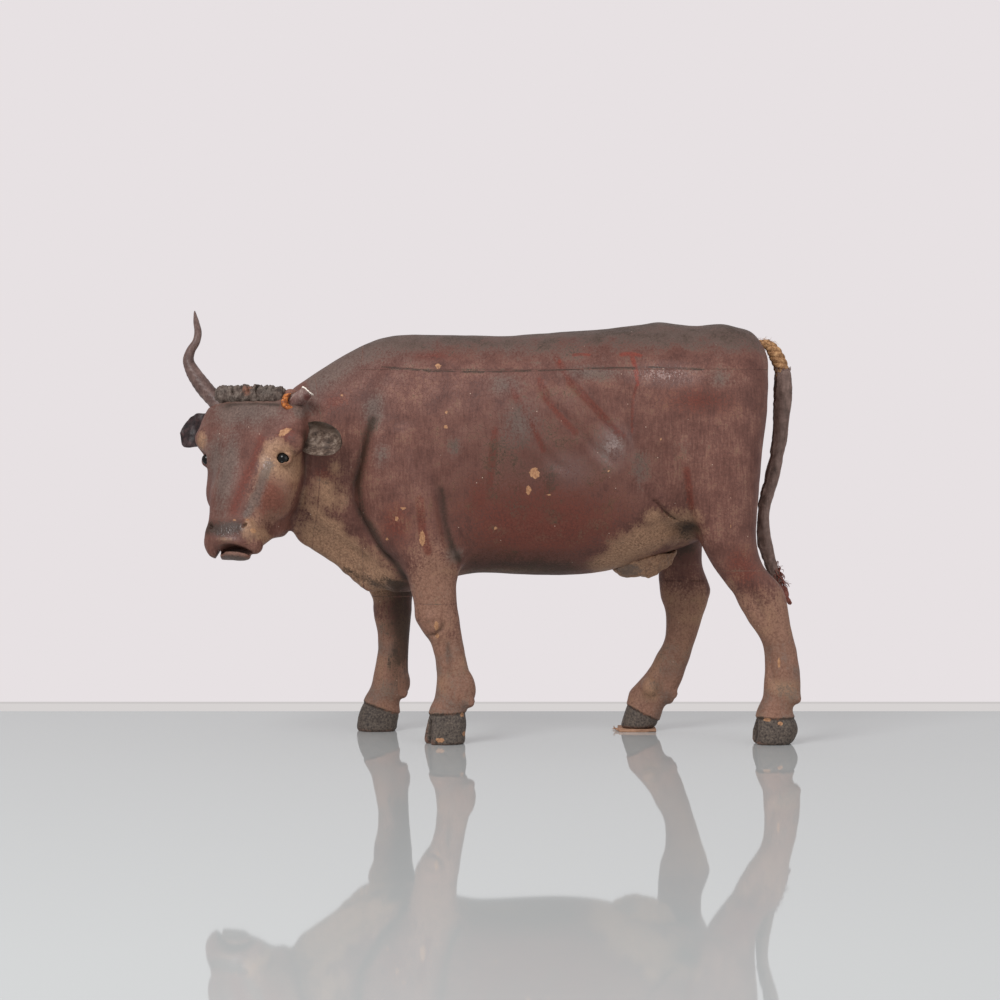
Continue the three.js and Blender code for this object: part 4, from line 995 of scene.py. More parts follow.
# %% Saw the rest
above = slab((NECK_JOINT_X, -FAR, BOARD_JOINT_Z + BOARD_GAP), (FAR, FAR, FAR))
carved["back_board"] = sawn(trunk, above)
below = slab((-FAR, -FAR, BOARD_JOINT_Z - BOARD_GAP), (FAR, FAR, FAR))
carved["trunk_block"] = sawn(trunk, below, "DIFFERENCE")
in_front = slab((-FAR, -FAR, -FAR), (-GLUE_LINE, FAR, FAR), MITRE, MITRE_AT)
carved["head_block"] = sawn(face, in_front)
neck = sawn(face, in_front, "DIFFERENCE")
carved["neck_block"] = sawn(neck, slab((-FAR, -FAR, -FAR), (NECK_JOINT_X - GLUE_LINE, FAR, FAR)))
print({name: len(mesh.polygons) for name, mesh in carved.items()})

# %% [markdown]
# ## Ears
# Each ear is a leaf of thick leather pushed into a slot. A leaf is a surface of two parameters:
# one runs from the root to the tip, the other across. It is cupped like a spoon, its rim is
# rolled, and folds run from the root like the ribs of a shell.

# %% Paths and tubes


def walk(path):
    """The length of a path up to each of its points."""
    return np.concatenate([[0], np.cumsum(np.linalg.norm(np.diff(path, axis=0), axis=1))])


def unit(vectors):
    """Rows of vectors, each brought to length 1."""
    return vectors / np.linalg.norm(vectors, axis=1)[:, None]


def flowing(points, count):
    """A Catmull-Rom curve through points, as count places spread evenly along its length."""
    p = np.array(points, float)
    p = np.vstack([2 * p[0] - p[1], p, 2 * p[-1] - p[-2]])
    t = np.linspace(0, 1, 24, endpoint=False)[None, :, None]
    a, b, c, d = (p[k:len(p) - 3 + k, None] for k in range(4))
    curve = 0.5 * (2 * b + (c - a) * t + (2 * a - 5 * b + 4 * c - d) * t ** 2
                   + (3 * b - a - 3 * c + d) * t ** 3)
    curve = np.vstack([curve.reshape(-1, p.shape[1]), p[-2]])
    walked = walk(curve)
    even = np.linspace(0, walked[-1], count)
    return np.stack([np.interp(even, walked, column) for column in curve.T], axis=1)


def tube(path, radius, sides=8, across=(0, 1, 0)):
    """Rings round a path: each ring is a circle in the plane of two directions square to the path.
    radius may be one number, one for each ring, or one for each point."""
    along = unit(np.gradient(path, axis=0))
    first = unit(np.cross(along, across))
    second = np.cross(along, first)
    turn = np.linspace(0, 2 * np.pi, sides, endpoint=False)
    radius = np.broadcast_to(np.atleast_2d(np.asarray(radius, float).T).T, (len(path), sides))
    return (path[:, None] + (radius * np.cos(turn))[..., None] * first[:, None]
            + (radius * np.sin(turn))[..., None] * second[:, None])


# %% Make the ears


def ear(name, side, root, long, drop, wide, round_off, cup, wrinkle, seed):
    """A cupped leaf in the head's axes. Its half width is a superellipse along the leaf, of power
    round_off, and the cup a parabola across it. Points with a sheet over 0 make the back, the
    others the front, and both meet at the rim. root, long, drop and wide place the leaf: how far
    out it starts, its length, how far it lies below the poll, and half its width."""
    u = np.linspace(0, 1, 60)[:, None]
    turn = np.linspace(0, 2 * np.pi, 72, endpoint=False)[None]
    across, sheet = np.cos(turn), np.sin(turn)
    width = wide * (1 - np.abs(1.98 * u - 0.98) ** round_off) ** (1 / round_off)
    x = root + long * u
    y = 5.0 + 3.0 * u + cup * (0.4 - across ** 2) * np.sin(np.pi * u) ** 0.7 + 0.9 * sheet
    z = -drop - 3.0 * u + width * across
    grid = np.stack([side * x + 0 * across, y, z], axis=-1)
    spots = grid.reshape(-1, 3)
    ribs = noise(spots * (0.18, 1, 1), 1.5, seed) * 0.35 + noise(spots, 4.0, seed + 1) * wrinkle
    spots[:, 1] += ribs
    mesh = closed_grid(name, place_head(spots).reshape(grid.shape))
    rim = fade(across, 0.3, 0.95) - 0.9 * fade(-across, 0.6, 1) + 0.5 * (1 - fade(u, 0.05, 0.3))
    lay(mesh, {"grime_and_shade": np.append(rim.ravel(), (0.5, 0)) - 0.3})
    return mesh


ears = {
    "left_ear": ear("near_ear", 1, root=28.0, long=27.6, drop=22.6, wide=10.0, round_off=2.2,
                    cup=4.4, wrinkle=0.5, seed=11),
    "right_ear": ear("far_ear", -1, root=31.6, long=23.2, drop=17.4, wide=10.2, round_off=2.6,
                     cup=2.0, wrinkle=1.4, seed=21),
}

# %% [markdown]
# ## Horns, stub and curls
# The CAD solids are right in place and size but faceted. A fine remesh and some sanding round
# them. The whole horn is a tube along a curve, with faint growth rings. The other one snapped
# off, and what stands is a stub, flat at its break, in a torn socket of bare wood. The curls
# between them are locks of one strip of hair.

# %% Round the horns
FINE = 0.45


def rounded(node, reach, name, voxel=FINE):
    """A CAD node as a skin of fine squares, sanded over a reach in mm."""
    mesh = applied(swollen([node], 0.0), "REMESH", mode="VOXEL", voxel_size=voxel * MM)
    reach = np.full(len(mesh.vertices), reach)
    set_points(mesh, sanded(points_of(mesh), edges_of(mesh), reach, voxel))
    mesh.name = name
    return mesh


stub = Carving(rounded("left_horn_stub", 0.9, "stub", 0.35))
STUB_ROOT, STUB_WAY = np.array((-119, -34, 193)), np.array((0.72, -0.28, 0.63))
torn = fade((stub.points - STUB_ROOT) @ STUB_WAY, 11.0, 14.0)
stub.lift = torn * (0.7 * noise(stub.points, 1.6, 33) + 0.5 * noise(stub.points, 0.9, 34))
stub.lift += 0.25 * noise(stub.points, 4, 35) + 0.5
stub.cut()
BREAK_AT, BREAK_WAY = np.array((-110.6, -34, 201.6)), np.array((0.615, 0.19, 0.765))
past = (stub.points - BREAK_AT) @ BREAK_WAY + 0.35 * noise(stub.points, 1.2, 36)
set_points(stub.mesh, stub.points - np.maximum(past, 0)[:, None] * BREAK_WAY)

# %% Curl the hair
curls = Carving(rounded("poll_tuft", 0.8, "curls"))
WIDER = 3.5  # mm that the strip reaches past the CAD one, over the root of the whole horn
LOCK, HAIR = 3.1, 1.35  # mm from lock to lock, and from strand to strand
PARTINGS = [(-7.4, 0.7), (-12.6, 0.5), (3.0, 0.4)]  # place and half width of the deepest gaps
local = in_head(curls.points)
lean = local[:, 0] + 0.35 * local[:, 2] + 1.4 * noise(local, 6, 41)
locks = np.abs(np.sin(np.pi * lean / LOCK)) ** 0.7 + 0.5 * np.abs(np.sin(np.pi * lean / HAIR + 1))
top = fade(local[:, 2], -3, 3)
curls.lift = 1.0 * (locks - 0.9) * (0.4 + 0.6 * top) + 1.4 * noise(local, 4.2, 42) * top
curls.lift += 0.35 * noise(local, 1.3, 43)
curls.points -= (WIDER * fade(-local[:, 0], 6, 22))[:, None] * HEAD_TURN[:, 0]
curls.points[:, 2] += 2.4 * fade(np.abs(local[:, 0] + 1), 12, 20) * fade(local[:, 2], -2, 3)
for x, wide in PARTINGS:
    curls.lift -= 2.2 * bell(local[:, 0] + 0.25 * local[:, 2], x, wide) * (0.3 + 0.7 * top)
curls.cut()

# %% Bend the whole horn
HORN = [  # outwards, to the front, upwards and radius, in mm from the root at the poll's corner
    (-8, 1, -5, 4.6), (-2.4, 0, 0, 4.8), (4.6, -3, 6.4, 4.9), (11.0, -6.5, 14, 4.2),
    (14.4, -9, 20.5, 3.3), (13.6, -10, 26.5, 2.7), (10.9, -10, 32.3, 2.3), (11.6, -9, 38.3, 2.1),
    (15.4, -7, 45, 1.75), (18.9, -5.2, 51.2, 0.95), (19.8, -4.8, 53.2, 0.4),
]
HORN_SIDES = 40
right_horn = in_head(points_of(nodes["right_horn"].data))
HORN_REACH, HORN_THICK = 17.75, 3.0  # of the CAD horn, where it stands out farthest
root = (right_horn[:, 0].min() + HORN_REACH + HORN_THICK, -2, -3)
way = flowing(HORN, 160) * (-1, 1, 1, 1)
horn_grid = tube(way[:, :3] + root, way[:, 3], HORN_SIDES)
spots = horn_grid.reshape(-1, 3)
rings = 0.09 * np.sin(2.4 * spots[:, 2] + 2 * noise(spots, 9, 31)) * (1 - fade(spots[:, 2], 4, 22))
rings += 0.16 * noise(spots, 6, 32)
centre = np.repeat(way[:, :3] + root, HORN_SIDES, axis=0)
spots += rings[:, None] * (spots - centre) / np.repeat(way[:, 3:], HORN_SIDES, axis=0)
horn = closed_grid("horn", place_head(spots).reshape(horn_grid.shape))

# %% The torn socket
t = np.linspace(0, 1, 40)[:, None]
turn = np.radians(90 + 205 * t)
SOCKET_RADIUS = 3.9
SOCKET = np.array((-118.2, -36.6, 194.8))
ring = np.concatenate([np.cos(turn) * 0.95, 0.25 * np.sin(turn), np.sin(turn)], axis=1)
ring = SOCKET + SOCKET_RADIUS * ring
around = np.linspace(0, 2 * np.pi, 14, endpoint=False)[None]
out = (ring - SOCKET) / SOCKET_RADIUS
thick = 2.1 * np.sin(np.pi * (0.04 + 0.92 * t)) ** 0.6
grid = ring[:, None] + (thick * np.cos(around))[..., None] * out[:, None]
grid = grid + (1.2 * thick * np.sin(around))[..., None] * np.array((0, 1, 0))
spots = grid.reshape(-1, 3)
spots += 0.5 * np.stack([noise(spots, 1.5, 51 + k) for k in range(3)], axis=1)
socket = closed_grid("torn_socket", spots.reshape(grid.shape))

# %% [markdown]
# ## The tail
# A rope of three strands is let into the rump. A sleeve of thin leather is pulled over it and sewn
# on the side towards the body, where its edges stand up ragged. The tuft at its end is the rope's
# own fibre, teased out and painted. Everything follows one curve, which repeats the CAD part's.

# %% Twist the rope
TAIL_ROOT = np.array((150, 0, 228))
TAIL_LENGTH = 140
TAIL_POINTS = [
    (-0.10, 0), (0, 0), (0.03, 0), (0.046, -0.008), (0.066, -0.036), (0.085, -0.076),
    (0.098, -0.12), (0.1, -0.16), (0.1, -0.22), (0.096, -0.3), (0.086, -0.4), (0.071, -0.48),
    (0.047, -0.59), (0.027, -0.67), (0.022, -0.74), (0.029, -0.82), (0.048, -0.893),
    (0.071, -0.955), (0.09, -1),
]
tail = flowing([TAIL_ROOT + TAIL_LENGTH * np.array((x, 0, z)) for x, z in TAIL_POINTS], 400)
tail_walked = walk(tail)
ROPE_PITCH = 11.0
STRANDS, STRAND_SIDES = 3, 10
STRAND_RADIUS, STRAND_OUT = 1.5, 1.25  # mm, and how far its middle lies from the rope's
ROPE_END_Z = 200
rope_end = int(np.argmax(tail[:, 2] < ROPE_END_Z))
rope_line = tail[:rope_end]
rope_turn = 2 * np.pi * tail_walked[:rope_end, None] / ROPE_PITCH
rope_along = unit(np.gradient(rope_line, axis=0))
rope_up = np.cross(rope_along, (0, 1, 0))
parts = []
loose = 1 + 0.6 * fade(tail_walked[:rope_end, None], 16, 28)  # the strands loosen at the sleeve
for strand in range(STRANDS):
    turn = rope_turn + 2 * np.pi * strand / STRANDS
    way = np.cos(turn) * rope_up + np.sin(turn) * np.array((0, 1, 0))
    line = rope_line + STRAND_OUT * loose * way
    bumps = noise(np.repeat(line, STRAND_SIDES, 0), 1.1, 61 + strand).reshape(-1, STRAND_SIDES)
    radius = STRAND_RADIUS * loose + 0.12 * bumps
    parts.append(closed_grid("strand", tube(line, radius, STRAND_SIDES)))

# %% Loose fibres


def fibres(name, starts, ways, lengths, curl, radius):
    """Many thin hairs in one mesh: each starts at a point, goes its own way, and curls round it
    with a radius that grows along it. All rings of all hairs are worked out at once."""
    count, rings, sides = len(starts), 9, 4
    t = np.linspace(0, 1, rings)[None, :, None]
    ways = unit(ways)
    lift = unit(np.cross(ways, (0.3, 0.9, 0.2)))
    cross = np.cross(ways, lift)
    phase = rng.uniform(0, 2 * np.pi, (count, 1, 1))
    spin = rng.uniform(3, 7, (count, 1, 1)) * t + phase
    path = starts[:, None] + lengths[:, None, None] * t * ways[:, None]
    path = path + curl * t * (np.cos(spin) * lift[:, None] + np.sin(spin) * cross[:, None])
    turn = np.linspace(0, 2 * np.pi, sides, endpoint=False)
    thin = (radius * (1 - 0.75 * t))[..., None]
    rings_at = (path[:, :, None] + thin * (np.cos(turn)[:, None] * lift[:, None, None]
                + np.sin(turn)[:, None] * cross[:, None, None]))
    index = np.arange(count * rings * sides).reshape(count, rings, sides)
    after = np.roll(index, -1, axis=2)
    quads = np.stack([index[:, :-1], after[:, :-1], after[:, 1:], index[:, 1:]], -1).reshape(-1, 4)
    caps = np.concatenate([index[:, 0, ::-1], index[:, -1]])
    return built(name, rings_at.reshape(-1, 3), quads, caps)


FUZZ, FRAYS, TUFT = 420, 34, 210  # hairs on the rope, at the sleeve's collar and in the tuft
pick = rng.integers(20, rope_end - 4, FUZZ)
spread = rng.uniform(0, 2 * np.pi, (FUZZ, 1))
outwards = np.cos(spread) * rope_up[pick] + np.sin(spread) * np.array((0, 1, 0))
fuzz = fibres("fuzz", rope_line[pick] + 2.3 * outwards, 0.7 * outwards + rope_along[pick],
              rng.uniform(1.4, 4.0, FUZZ), curl=0.6, radius=0.15)
rope = joined(*parts, fuzz)
rope.name = "twisted_rope"

# %% Sew the sleeve
SLEEVE = [  # height and radius
    (213.5, 4.0), (211, 4.8), (203, 5.4), (188, 4.7), (175, 4.3), (164, 3.7), (153, 4.3),
    (142, 3.8), (131, 3.4), (120, 3.8), (109, 3.9), (98, 3.4), (92, 2.6), (88, 1.9),
]
SLEEVE_SIDES = 48
heights, radii = np.array(SLEEVE[::-1]).T
sleeve_line = tail[(tail[:, 2] < heights[-1]) & (tail[:, 2] > heights[0])]
sleeve_line = flowing(sleeve_line[::6], 300)
base = np.interp(sleeve_line[:, 2], heights, radii)[:, None]
turn = np.linspace(0, 2 * np.pi, SLEEVE_SIDES, endpoint=False)[None]
around = 4 * np.stack([np.cos(turn), np.sin(turn), 0 * turn], -1)
spots = (sleeve_line[:, None] + around).reshape(-1, 3)
crinkle = 0.45 * noise(spots * (1, 1, 0.35), 5.0, 71) + 0.16 * noise(spots * (1, 1, 0.5), 2.0, 72)
crinkle += 0.08 * noise(spots, 0.9, 73)
SEAM_TURN = np.pi * 0.92
off = np.angle(np.exp(1j * (turn - SEAM_TURN - 0.25 * np.sin(sleeve_line[:, 2:] / 9))))
seam = 0.8 * bell(np.abs(off), 0.34, 0.16) - 0.9 * bell(off, 0, 0.16)
seam = seam * (0.6 + 0.5 * noise(sleeve_line, 2.2, 74)[:, None])
radius = base + crinkle.reshape(len(base), -1) + seam
sleeve = closed_grid("sleeve", tube(sleeve_line, radius, SLEEVE_SIDES))

spread = np.sort(rng.uniform(0, 2 * np.pi, FRAYS))[:, None]
collar = sleeve_line[3] + 3.9 * np.concatenate([np.cos(spread), np.sin(spread), 0 * spread], axis=1)
frays = fibres("frays", collar, (collar - sleeve_line[3]) * 0.12 + (0, 0, 1),
               rng.uniform(1.5, 3.6, FRAYS), curl=0.5, radius=0.42)
sleeve = joined(sleeve, frays)
sleeve.name = "leather_sleeve"

# %% Tease out the tuft
starts = sleeve_line[-12] + rng.normal(0, 1.2, (TUFT, 3)) * (1, 1, 2.4)
backwards, sideways = rng.uniform(-0.1, 0.95, TUFT), rng.normal(0, 0.3, TUFT)
ways = np.stack([backwards, sideways, np.full(TUFT, -1.0)], axis=1)
clump = Carving(rounded("tail_tuft", 1.2, "clump"))
clump.lift = 0.9 * noise(clump.points, 2.4, 77) + 0.5 * noise(clump.points, 1.2, 78)
clump.cut()
hair = fibres("tuft", starts, ways, rng.uniform(4, 10.5, TUFT), curl=1.9, radius=0.36)
tuft = joined(clump.mesh, hair)
tuft.name = "tail_tuft_hair"

# %% [markdown]
# ## Small wooden pieces
# Under the belly sits a rough lump that was glued on and painted with the rest. The slip under the
# far hind hoof is what is left of a base: a shaving with a splinter that curls up at its front.

# %% Lump and slip
pouch = Carving(rounded("groin_pouch", 1.6, "pouch", 0.6))
pouch.lift = 1.3 * noise(pouch.points, 5, 81) + 0.7 * noise(pouch.points, 2.6, 82)
pouch.lift += 0.2 * noise(pouch.points, 1.3, 83)
POUCH_FOLD = [(66, 103.5), (76, 107.2), (82, 106.3), (90, 110), (101, 116)]
pouch.fold(POUCH_FOLD, 1.6, 1.3, lip=0.6, lip_width=2.5)
pouch.points[:, 0] -= 3.0 * (1 - fade(pouch.points[:, 0], 68, 84))
pouch.cut()

slip = Carving(rounded("sole_slip", 0.3, "slip", 0.5))
SLIP_FRONT, SLIP_LENGTH = 70.4, 0.88  # mm, and a share of the CAD slip
slip.points[:, 0] = SLIP_FRONT + SLIP_LENGTH * (slip.points[:, 0] - SLIP_FRONT)
slip.lift = 0.28 * noise(slip.points * (0.25, 1, 1), 1.6, 91)
slip.cut()
splinters = [
    [(72, 30, 0.8), (70, 29.6, 0.9), (68.4, 29.2, 1.3), (67.6, 29.0, 2.2), (67.8, 28.9, 3.0)],
    [(72, 33, 0.6), (69, 33.4, 0.7), (66.8, 33.8, 0.6)],
    [(73, 26, 0.7), (70.4, 25.4, 0.8), (68.6, 25, 1.4)],
]
taper = 0.75 * (1 - 0.8 * np.linspace(0, 1, 24) ** 2)
slip_mesh = joined(slip.mesh, *[
    closed_grid("splinter", tube(flowing(line, 24), taper, 8)) for line in splinters])
slip_mesh.name = "slip_with_splinters"

# %% Glass eyes


def glass_ball(node):
    """A sphere in the middle of a CAD eye, as wide as it."""
    low, high = box_mm(node)
    middle = (low + high) / 2 - ZERO + HEAD_TURN @ EYE_MOVED[node]
    shown = 0.5 if EYES[node] > 0 else 0.43  # the far lid hides more of its ball
    radii = ((high - low).max() * shown,) * 3
    return ellipsoid(middle, radii, place=place_carver, rings=32, sides=48)


balls = {node: glass_ball(node) for node in EYES}
print("points of the curls, the horn, the sleeve and the tuft:", len(curls.points),
      len(horn.vertices), len(sleeve.vertices), len(tuft.vertices))

# %% [markdown]
# ## Painted wood
# One material serves all the painted blocks. From the bottom up it is: brown oil paint with a
# brushed grain, the lighter brown of the shanks, red, ochre, dust, runs of bright red glaze,
# patches of varnish with painted highlights, the slate of the hooves, grease and painted shade in
# the folds, under the body and on the far foreleg, bare pine in the chips, dirt and painted shade
# in the hollows, worn edges, a net of cracks and pale flecks. Each layer is a mix whose amount
# comes from its mask, roughened by noise of about a millimetre, so edges look chipped.

# %% A node and a colour


def srgb(code):
    """A hex colour as linear red, green, blue and an alpha of 1."""
    part = np.array([int(code[k:k + 2], 16) for k in (1, 3, 5)]) / 255
    return (*np.where(part <= 0.04045, part / 12.92, ((part + 0.055) / 1.055) ** 2.4), 1.0)


def add(tree, kind, values=(), **settings):
    """A new shader node: settings are its own, values fill its inputs with numbers or links."""
    node = tree.nodes.new("ShaderNode" + kind)
    for key, value in settings.items():
        setattr(node, key, value)
    for socket, value in dict(values).items():
        if isinstance(value, bpy.types.NodeSocket):
            tree.links.new(value, node.inputs[socket])
        else:
            node.inputs[socket].default_value = value
    return node


# %% Build a finish
MIX_A, MIX_B, MIX_OUT = 6, 7, 2  # sockets of a Mix node that mixes colours
EDGE_BREAK = 4.2  # how strongly the noise of a millimetre breaks the edge of a mask
PAINTS = [  # mask, two colours, where the layer starts and is full, and how much it hides
    ("shank", "#7b5847", "#9f7965", -0.4, 0.4, 0.7),
    ("red", "#562319", "#713529", 0.0, 0.7, 0.65),
    ("ochre", "#b48e70", "#80614c", -0.1, 0.6, 0.8),
    ("dust", "#4f4843", "#6d635c", -0.1, 0.8, 0.65),
    ("glaze", "#74231a", "#8a3a29", 0.0, 0.6, 0.6),
    # Painted highlight: pale glints over the varnish patches.
    ("varnish_and_highlight", "#7b5850", "#b59c97", 0.75, 1.05, 0.5),
    ("hoof", "#2e2a29", "#675d54", -0.2, 0.2, 0.95),
    # Grime, and painted shade in the folds, under the body and on the far legs.
    ("grime_and_shade", "#261b14", "#382a20", -0.1, 0.8, 0.85),
    ("chip", "#96694b", "#b88b66", 0.3, 0.6, 0.9),
]
# The colour of the cracks, and of dirt and painted shade in the folds.
DIRT_AND_SHADE = srgb("#271b16")
DIRT_AND_SHADE_FROM, DIRT_AND_SHADE_FULL = 0.3, 2.7  # mm under the smoothed skin
FLECK = srgb("#b9a08f")
FLECK_SPACING, CRACK_SPACING = 3.4, 2.6  # mm


def paint_coat(tree, row, edges, grit):
    """How much of one painted layer shows, and its colour, which goes between two by the grit."""
    mask, first, second, start, full, share = row
    value = add(tree, "Attribute", attribute_name=mask).outputs["Fac"]
    torn = add(tree, "Math", {0: edges, 1: EDGE_BREAK, 2: -EDGE_BREAK / 2},
               operation="MULTIPLY_ADD").outputs[0]
    value = add(tree, "Math", {0: value, 1: torn}, operation="ADD").outputs[0]
    amount = add(tree, "MapRange", {0: value, 1: start, 2: full, 4: share},
                 interpolation_type="SMOOTHSTEP").outputs[0]
    two = add(tree, "MapRange", {0: grit, 1: 0.35, 2: 0.65}).outputs[0]
    two = add(tree, "Mix", {0: two, MIX_A: srgb(first), MIX_B: srgb(second)}, data_type="RGBA")
    return amount, two.outputs[MIX_OUT]


def worn_coat(tree, cavity, grit, code):
    """Where sharp edges are worn: well over the smoothed skin, and broken up by the grit."""
    edge = add(tree, "Math", {0: grit, 1: -2.0, 2: 1.0}, operation="MULTIPLY_ADD").outputs[0]
    edge = add(tree, "Math", {0: edge, 1: cavity}, operation="ADD").outputs[0]
    return add(tree, "MapRange", {0: edge, 1: -0.8, 2: -1.8, 4: 0.45}).outputs[0], srgb(code)


def crack_coat(tree, mm, cloud, cracks):
    """A net of fine cracks, stronger where the cloud is."""
    warp = add(tree, "VectorMath", {0: mm, 1: cloud}, operation="ADD").outputs[0]
    net = add(tree, "TexVoronoi", {"Vector": warp, "Scale": 1 / CRACK_SPACING},
              feature="DISTANCE_TO_EDGE").outputs["Distance"]
    line = add(tree, "MapRange", {0: net, 1: 0.0, 2: 0.05, 3: cracks, 4: 0.0}).outputs[0]
    return add(tree, "Math", {0: line, 1: cloud}, operation="MULTIPLY").outputs[0], DIRT_AND_SHADE


def fleck_coat(tree, mm, flecks):
    """Pale dots in the middle of some cells, the share of them given by flecks."""
    cells = add(tree, "TexVoronoi", {"Vector": mm, "Scale": 1 / FLECK_SPACING})
    dot = add(tree, "MapRange", {0: cells.outputs["Distance"], 1: 0.1, 2: 0.06}).outputs[0]
    dice = add(tree, "SeparateColor", {0: cells.outputs["Color"]}).outputs[0]
    chosen = add(tree, "Math", {0: dice, 1: flecks}, operation="LESS_THAN").outputs[0]
    return add(tree, "Math", {0: dot, 1: chosen}, operation="MULTIPLY").outputs[0], FLECK


def finish(name, browns, layers=(), grain=(0.9, 0.9, 0.08), mottle=12.0, cracks=0.0, flecks=0.0,
           rough=0.55, bump=0.28, worn=None, spread=0.5):
    """A procedural finish in millimetres: three browns by noise, the layers over them, then dirt
    and painted shade in the folds, worn edges, a net of cracks, pale flecks, and a bump from grain
    and cracks. spread is how far from the middle brown the noise goes."""
    material = bpy.data.materials.new(name)
    material.use_nodes = True
    tree = material.node_tree
    shader = tree.nodes["Principled BSDF"]
    place = add(tree, "TexCoord").outputs["Object"]
    mm = add(tree, "Mapping", {"Vector": place, "Scale": (1 / MM,) * 3}).outputs[0]
    drawn = add(tree, "Mapping", {"Vector": mm, "Scale": grain}).outputs[0]
    cloud, brush, grit = (
        add(tree, "TexNoise", {"Vector": where, "Scale": scale, "Detail": detail,
                               "Roughness": jagged}).outputs["Fac"]
        for where, scale, detail, jagged in (
            (mm, 1 / mottle, 3.0, 0.55), (drawn, 1.0, 4.0, 0.65), (mm, 0.8, 3.0, 0.7)))
    tone = add(tree, "Mix", {0: 0.38, 2: cloud, 3: brush}).outputs[0]
    edges = add(tree, "Mix", {0: 0.4, 2: tone, 3: grit}).outputs[0]
    tone = add(tree, "Mix", {0: 0.25, 2: tone, 3: grit}).outputs[0]
    ramp = add(tree, "ValToRGB", {"Fac": tone})
    ramp.color_ramp.elements.new(0.5)
    for element, off, code in zip(ramp.color_ramp.elements, (-0.25, 0, 0.25), browns):
        element.position = 0.5 + off * spread
        element.color = srgb(code)
    coats = [paint_coat(tree, row, edges, grit) for row in layers]
    cavity = add(tree, "Attribute", attribute_name="cavity").outputs["Fac"]
    # Dirt and painted shade, darker the deeper a fold.
    dirt_and_shade = add(tree, "MapRange", {0: cavity, 1: DIRT_AND_SHADE_FROM, 2: DIRT_AND_SHADE_FULL, 4: 0.8}).outputs[0]
    coats.append((dirt_and_shade, DIRT_AND_SHADE))
    if worn:
        coats.append(worn_coat(tree, cavity, grit, worn))
    height = add(tree, "Mix", {0: 0.6, 2: brush, 3: grit}).outputs[0]
    if cracks:
        coats.append(crack_coat(tree, mm, cloud, cracks))
        height = add(tree, "Math", {0: height, 1: coats[-1][0]}, operation="SUBTRACT").outputs[0]
    if flecks:
        coats.append(fleck_coat(tree, mm, flecks))
    colour = ramp.outputs["Color"]
    for amount, top in coats:
        colour = add(tree, "Mix", {0: amount, MIX_A: colour, MIX_B: top},
                     data_type="RGBA").outputs[MIX_OUT]
    varnish_and_highlight = add(tree, "Attribute", attribute_name="varnish_and_highlight").outputs["Fac"]
    dull, shine = (
        add(tree, "MapRange", {0: varnish_and_highlight, 1: 0.0, 2: 0.6, 3: plain, 4: glossy}).outputs[0]
        for plain, glossy in ((rough, 0.3), (0.25, 0.7)))
    dull = add(tree, "Math", {0: grit, 1: 0.4, 2: dull}, operation="MULTIPLY_ADD").outputs[0]
    dull = add(tree, "Math", {0: dull, 1: 0.2}, operation="SUBTRACT").outputs[0]
    relief = add(tree, "Bump", {"Height": height, "Strength": 0.8,
                                "Distance": bump * MM}).outputs[0]
    for socket, value in (("Base Color", colour), ("Roughness", dull),
                          ("Specular IOR Level", shine), ("Normal", relief)):
        tree.links.new(value, shader.inputs[socket])
    shader.inputs["IOR"].default_value = 1.5
    return material


painted_wood = finish("painted_wood", ("#52322b", "#67433a", "#80584d"), PAINTS, cracks=0.5,
                      flecks=0.08, worn="#8f6453")

# %% [markdown]
# ## Horn, leather, rope, hair and glass
# The same layered finish serves the rest, with other browns and another grain. Horn is polished
# and streaked along its length, and its break is almost white. Leather is coarser and dull. Glass
# eyes are black and smooth, and need almost no pattern, only a little depth in the colour.

# %% The other finishes
horn_paint = finish("painted_horn", ("#453430", "#5f4b46", "#79635c"), grain=(1.2, 1.2, 0.2),
                    mottle=7.0, flecks=0.05, rough=0.42, bump=0.05)
stub_paint = finish("torn_horn", ("#5d3f3a", "#7c625c", "#97857d"),
                    [("chip", "#e3d9cc", "#f2ebe0", 0.1, 0.4, 1.0),
                     ("red", "#5a2b27", "#6b3a34", 0.1, 0.5, 0.7)], mottle=4.0, rough=0.5)
torn_wood = finish("torn_socket_wood", ("#4a2512", "#9c5526", "#cc8144"), mottle=2.0,
                   grain=(2, 2, 0.8), rough=0.4, bump=0.25, spread=0.35)
bare_wood = finish("bare_pine", ("#8a6549", "#a8835f", "#bd9a78"), grain=(0.15, 1.5, 1.5),
                   rough=0.7)
slip_wood = finish("pine_slip", ("#7a5a48", "#9c7760", "#b98f75"), grain=(0.12, 1.4, 2.5),
                   rough=0.75)
EAR_RIM = [("grime_and_shade", "#2a2019", "#41342a", -0.1, 0.7, 0.85)]
near_leather = finish("ear_leather_near", ("#2a1f18", "#55443a", "#8a7a6d"), EAR_RIM,
                      grain=(0.12, 1.2, 1.5), mottle=4.0, rough=0.6, bump=0.4)
# The far ear's leather is the near ear's in darker browns: painted shade for the ear on the far
# side of the head.
shaded_far_leather = finish("ear_leather_far", ("#161011", "#2e2021", "#4a3534"), mottle=5.0, rough=0.45,
                     bump=0.3)
sleeve_leather = finish("sleeve_leather", ("#50403a", "#705a52", "#877068"), grain=(1.0, 1.0, 0.12),
                        mottle=6.0, bump=0.25)
rope_fibre = finish("rope_fibre", ("#6e4c32", "#9b7350", "#bd956c"), grain=(1.6, 1.6, 0.8),
                    mottle=2.5, rough=0.8, bump=0.2)
hair_paint = finish("tuft_fibre", ("#5b2f28", "#7a463b", "#94645a"), mottle=3.0, rough=0.7)
curl_paint = finish("curl_hair", ("#2f2520", "#574a43", "#766960"),
                    [("chip", "#6f4536", "#8a5a45", 0.1, 0.8, 0.7),
                     ("dust", "#675f57", "#7d746c", 0.1, 0.8, 0.3)],
                    grain=(1.2, 1.2, 0.5), mottle=3.5, rough=0.65, bump=0.3)
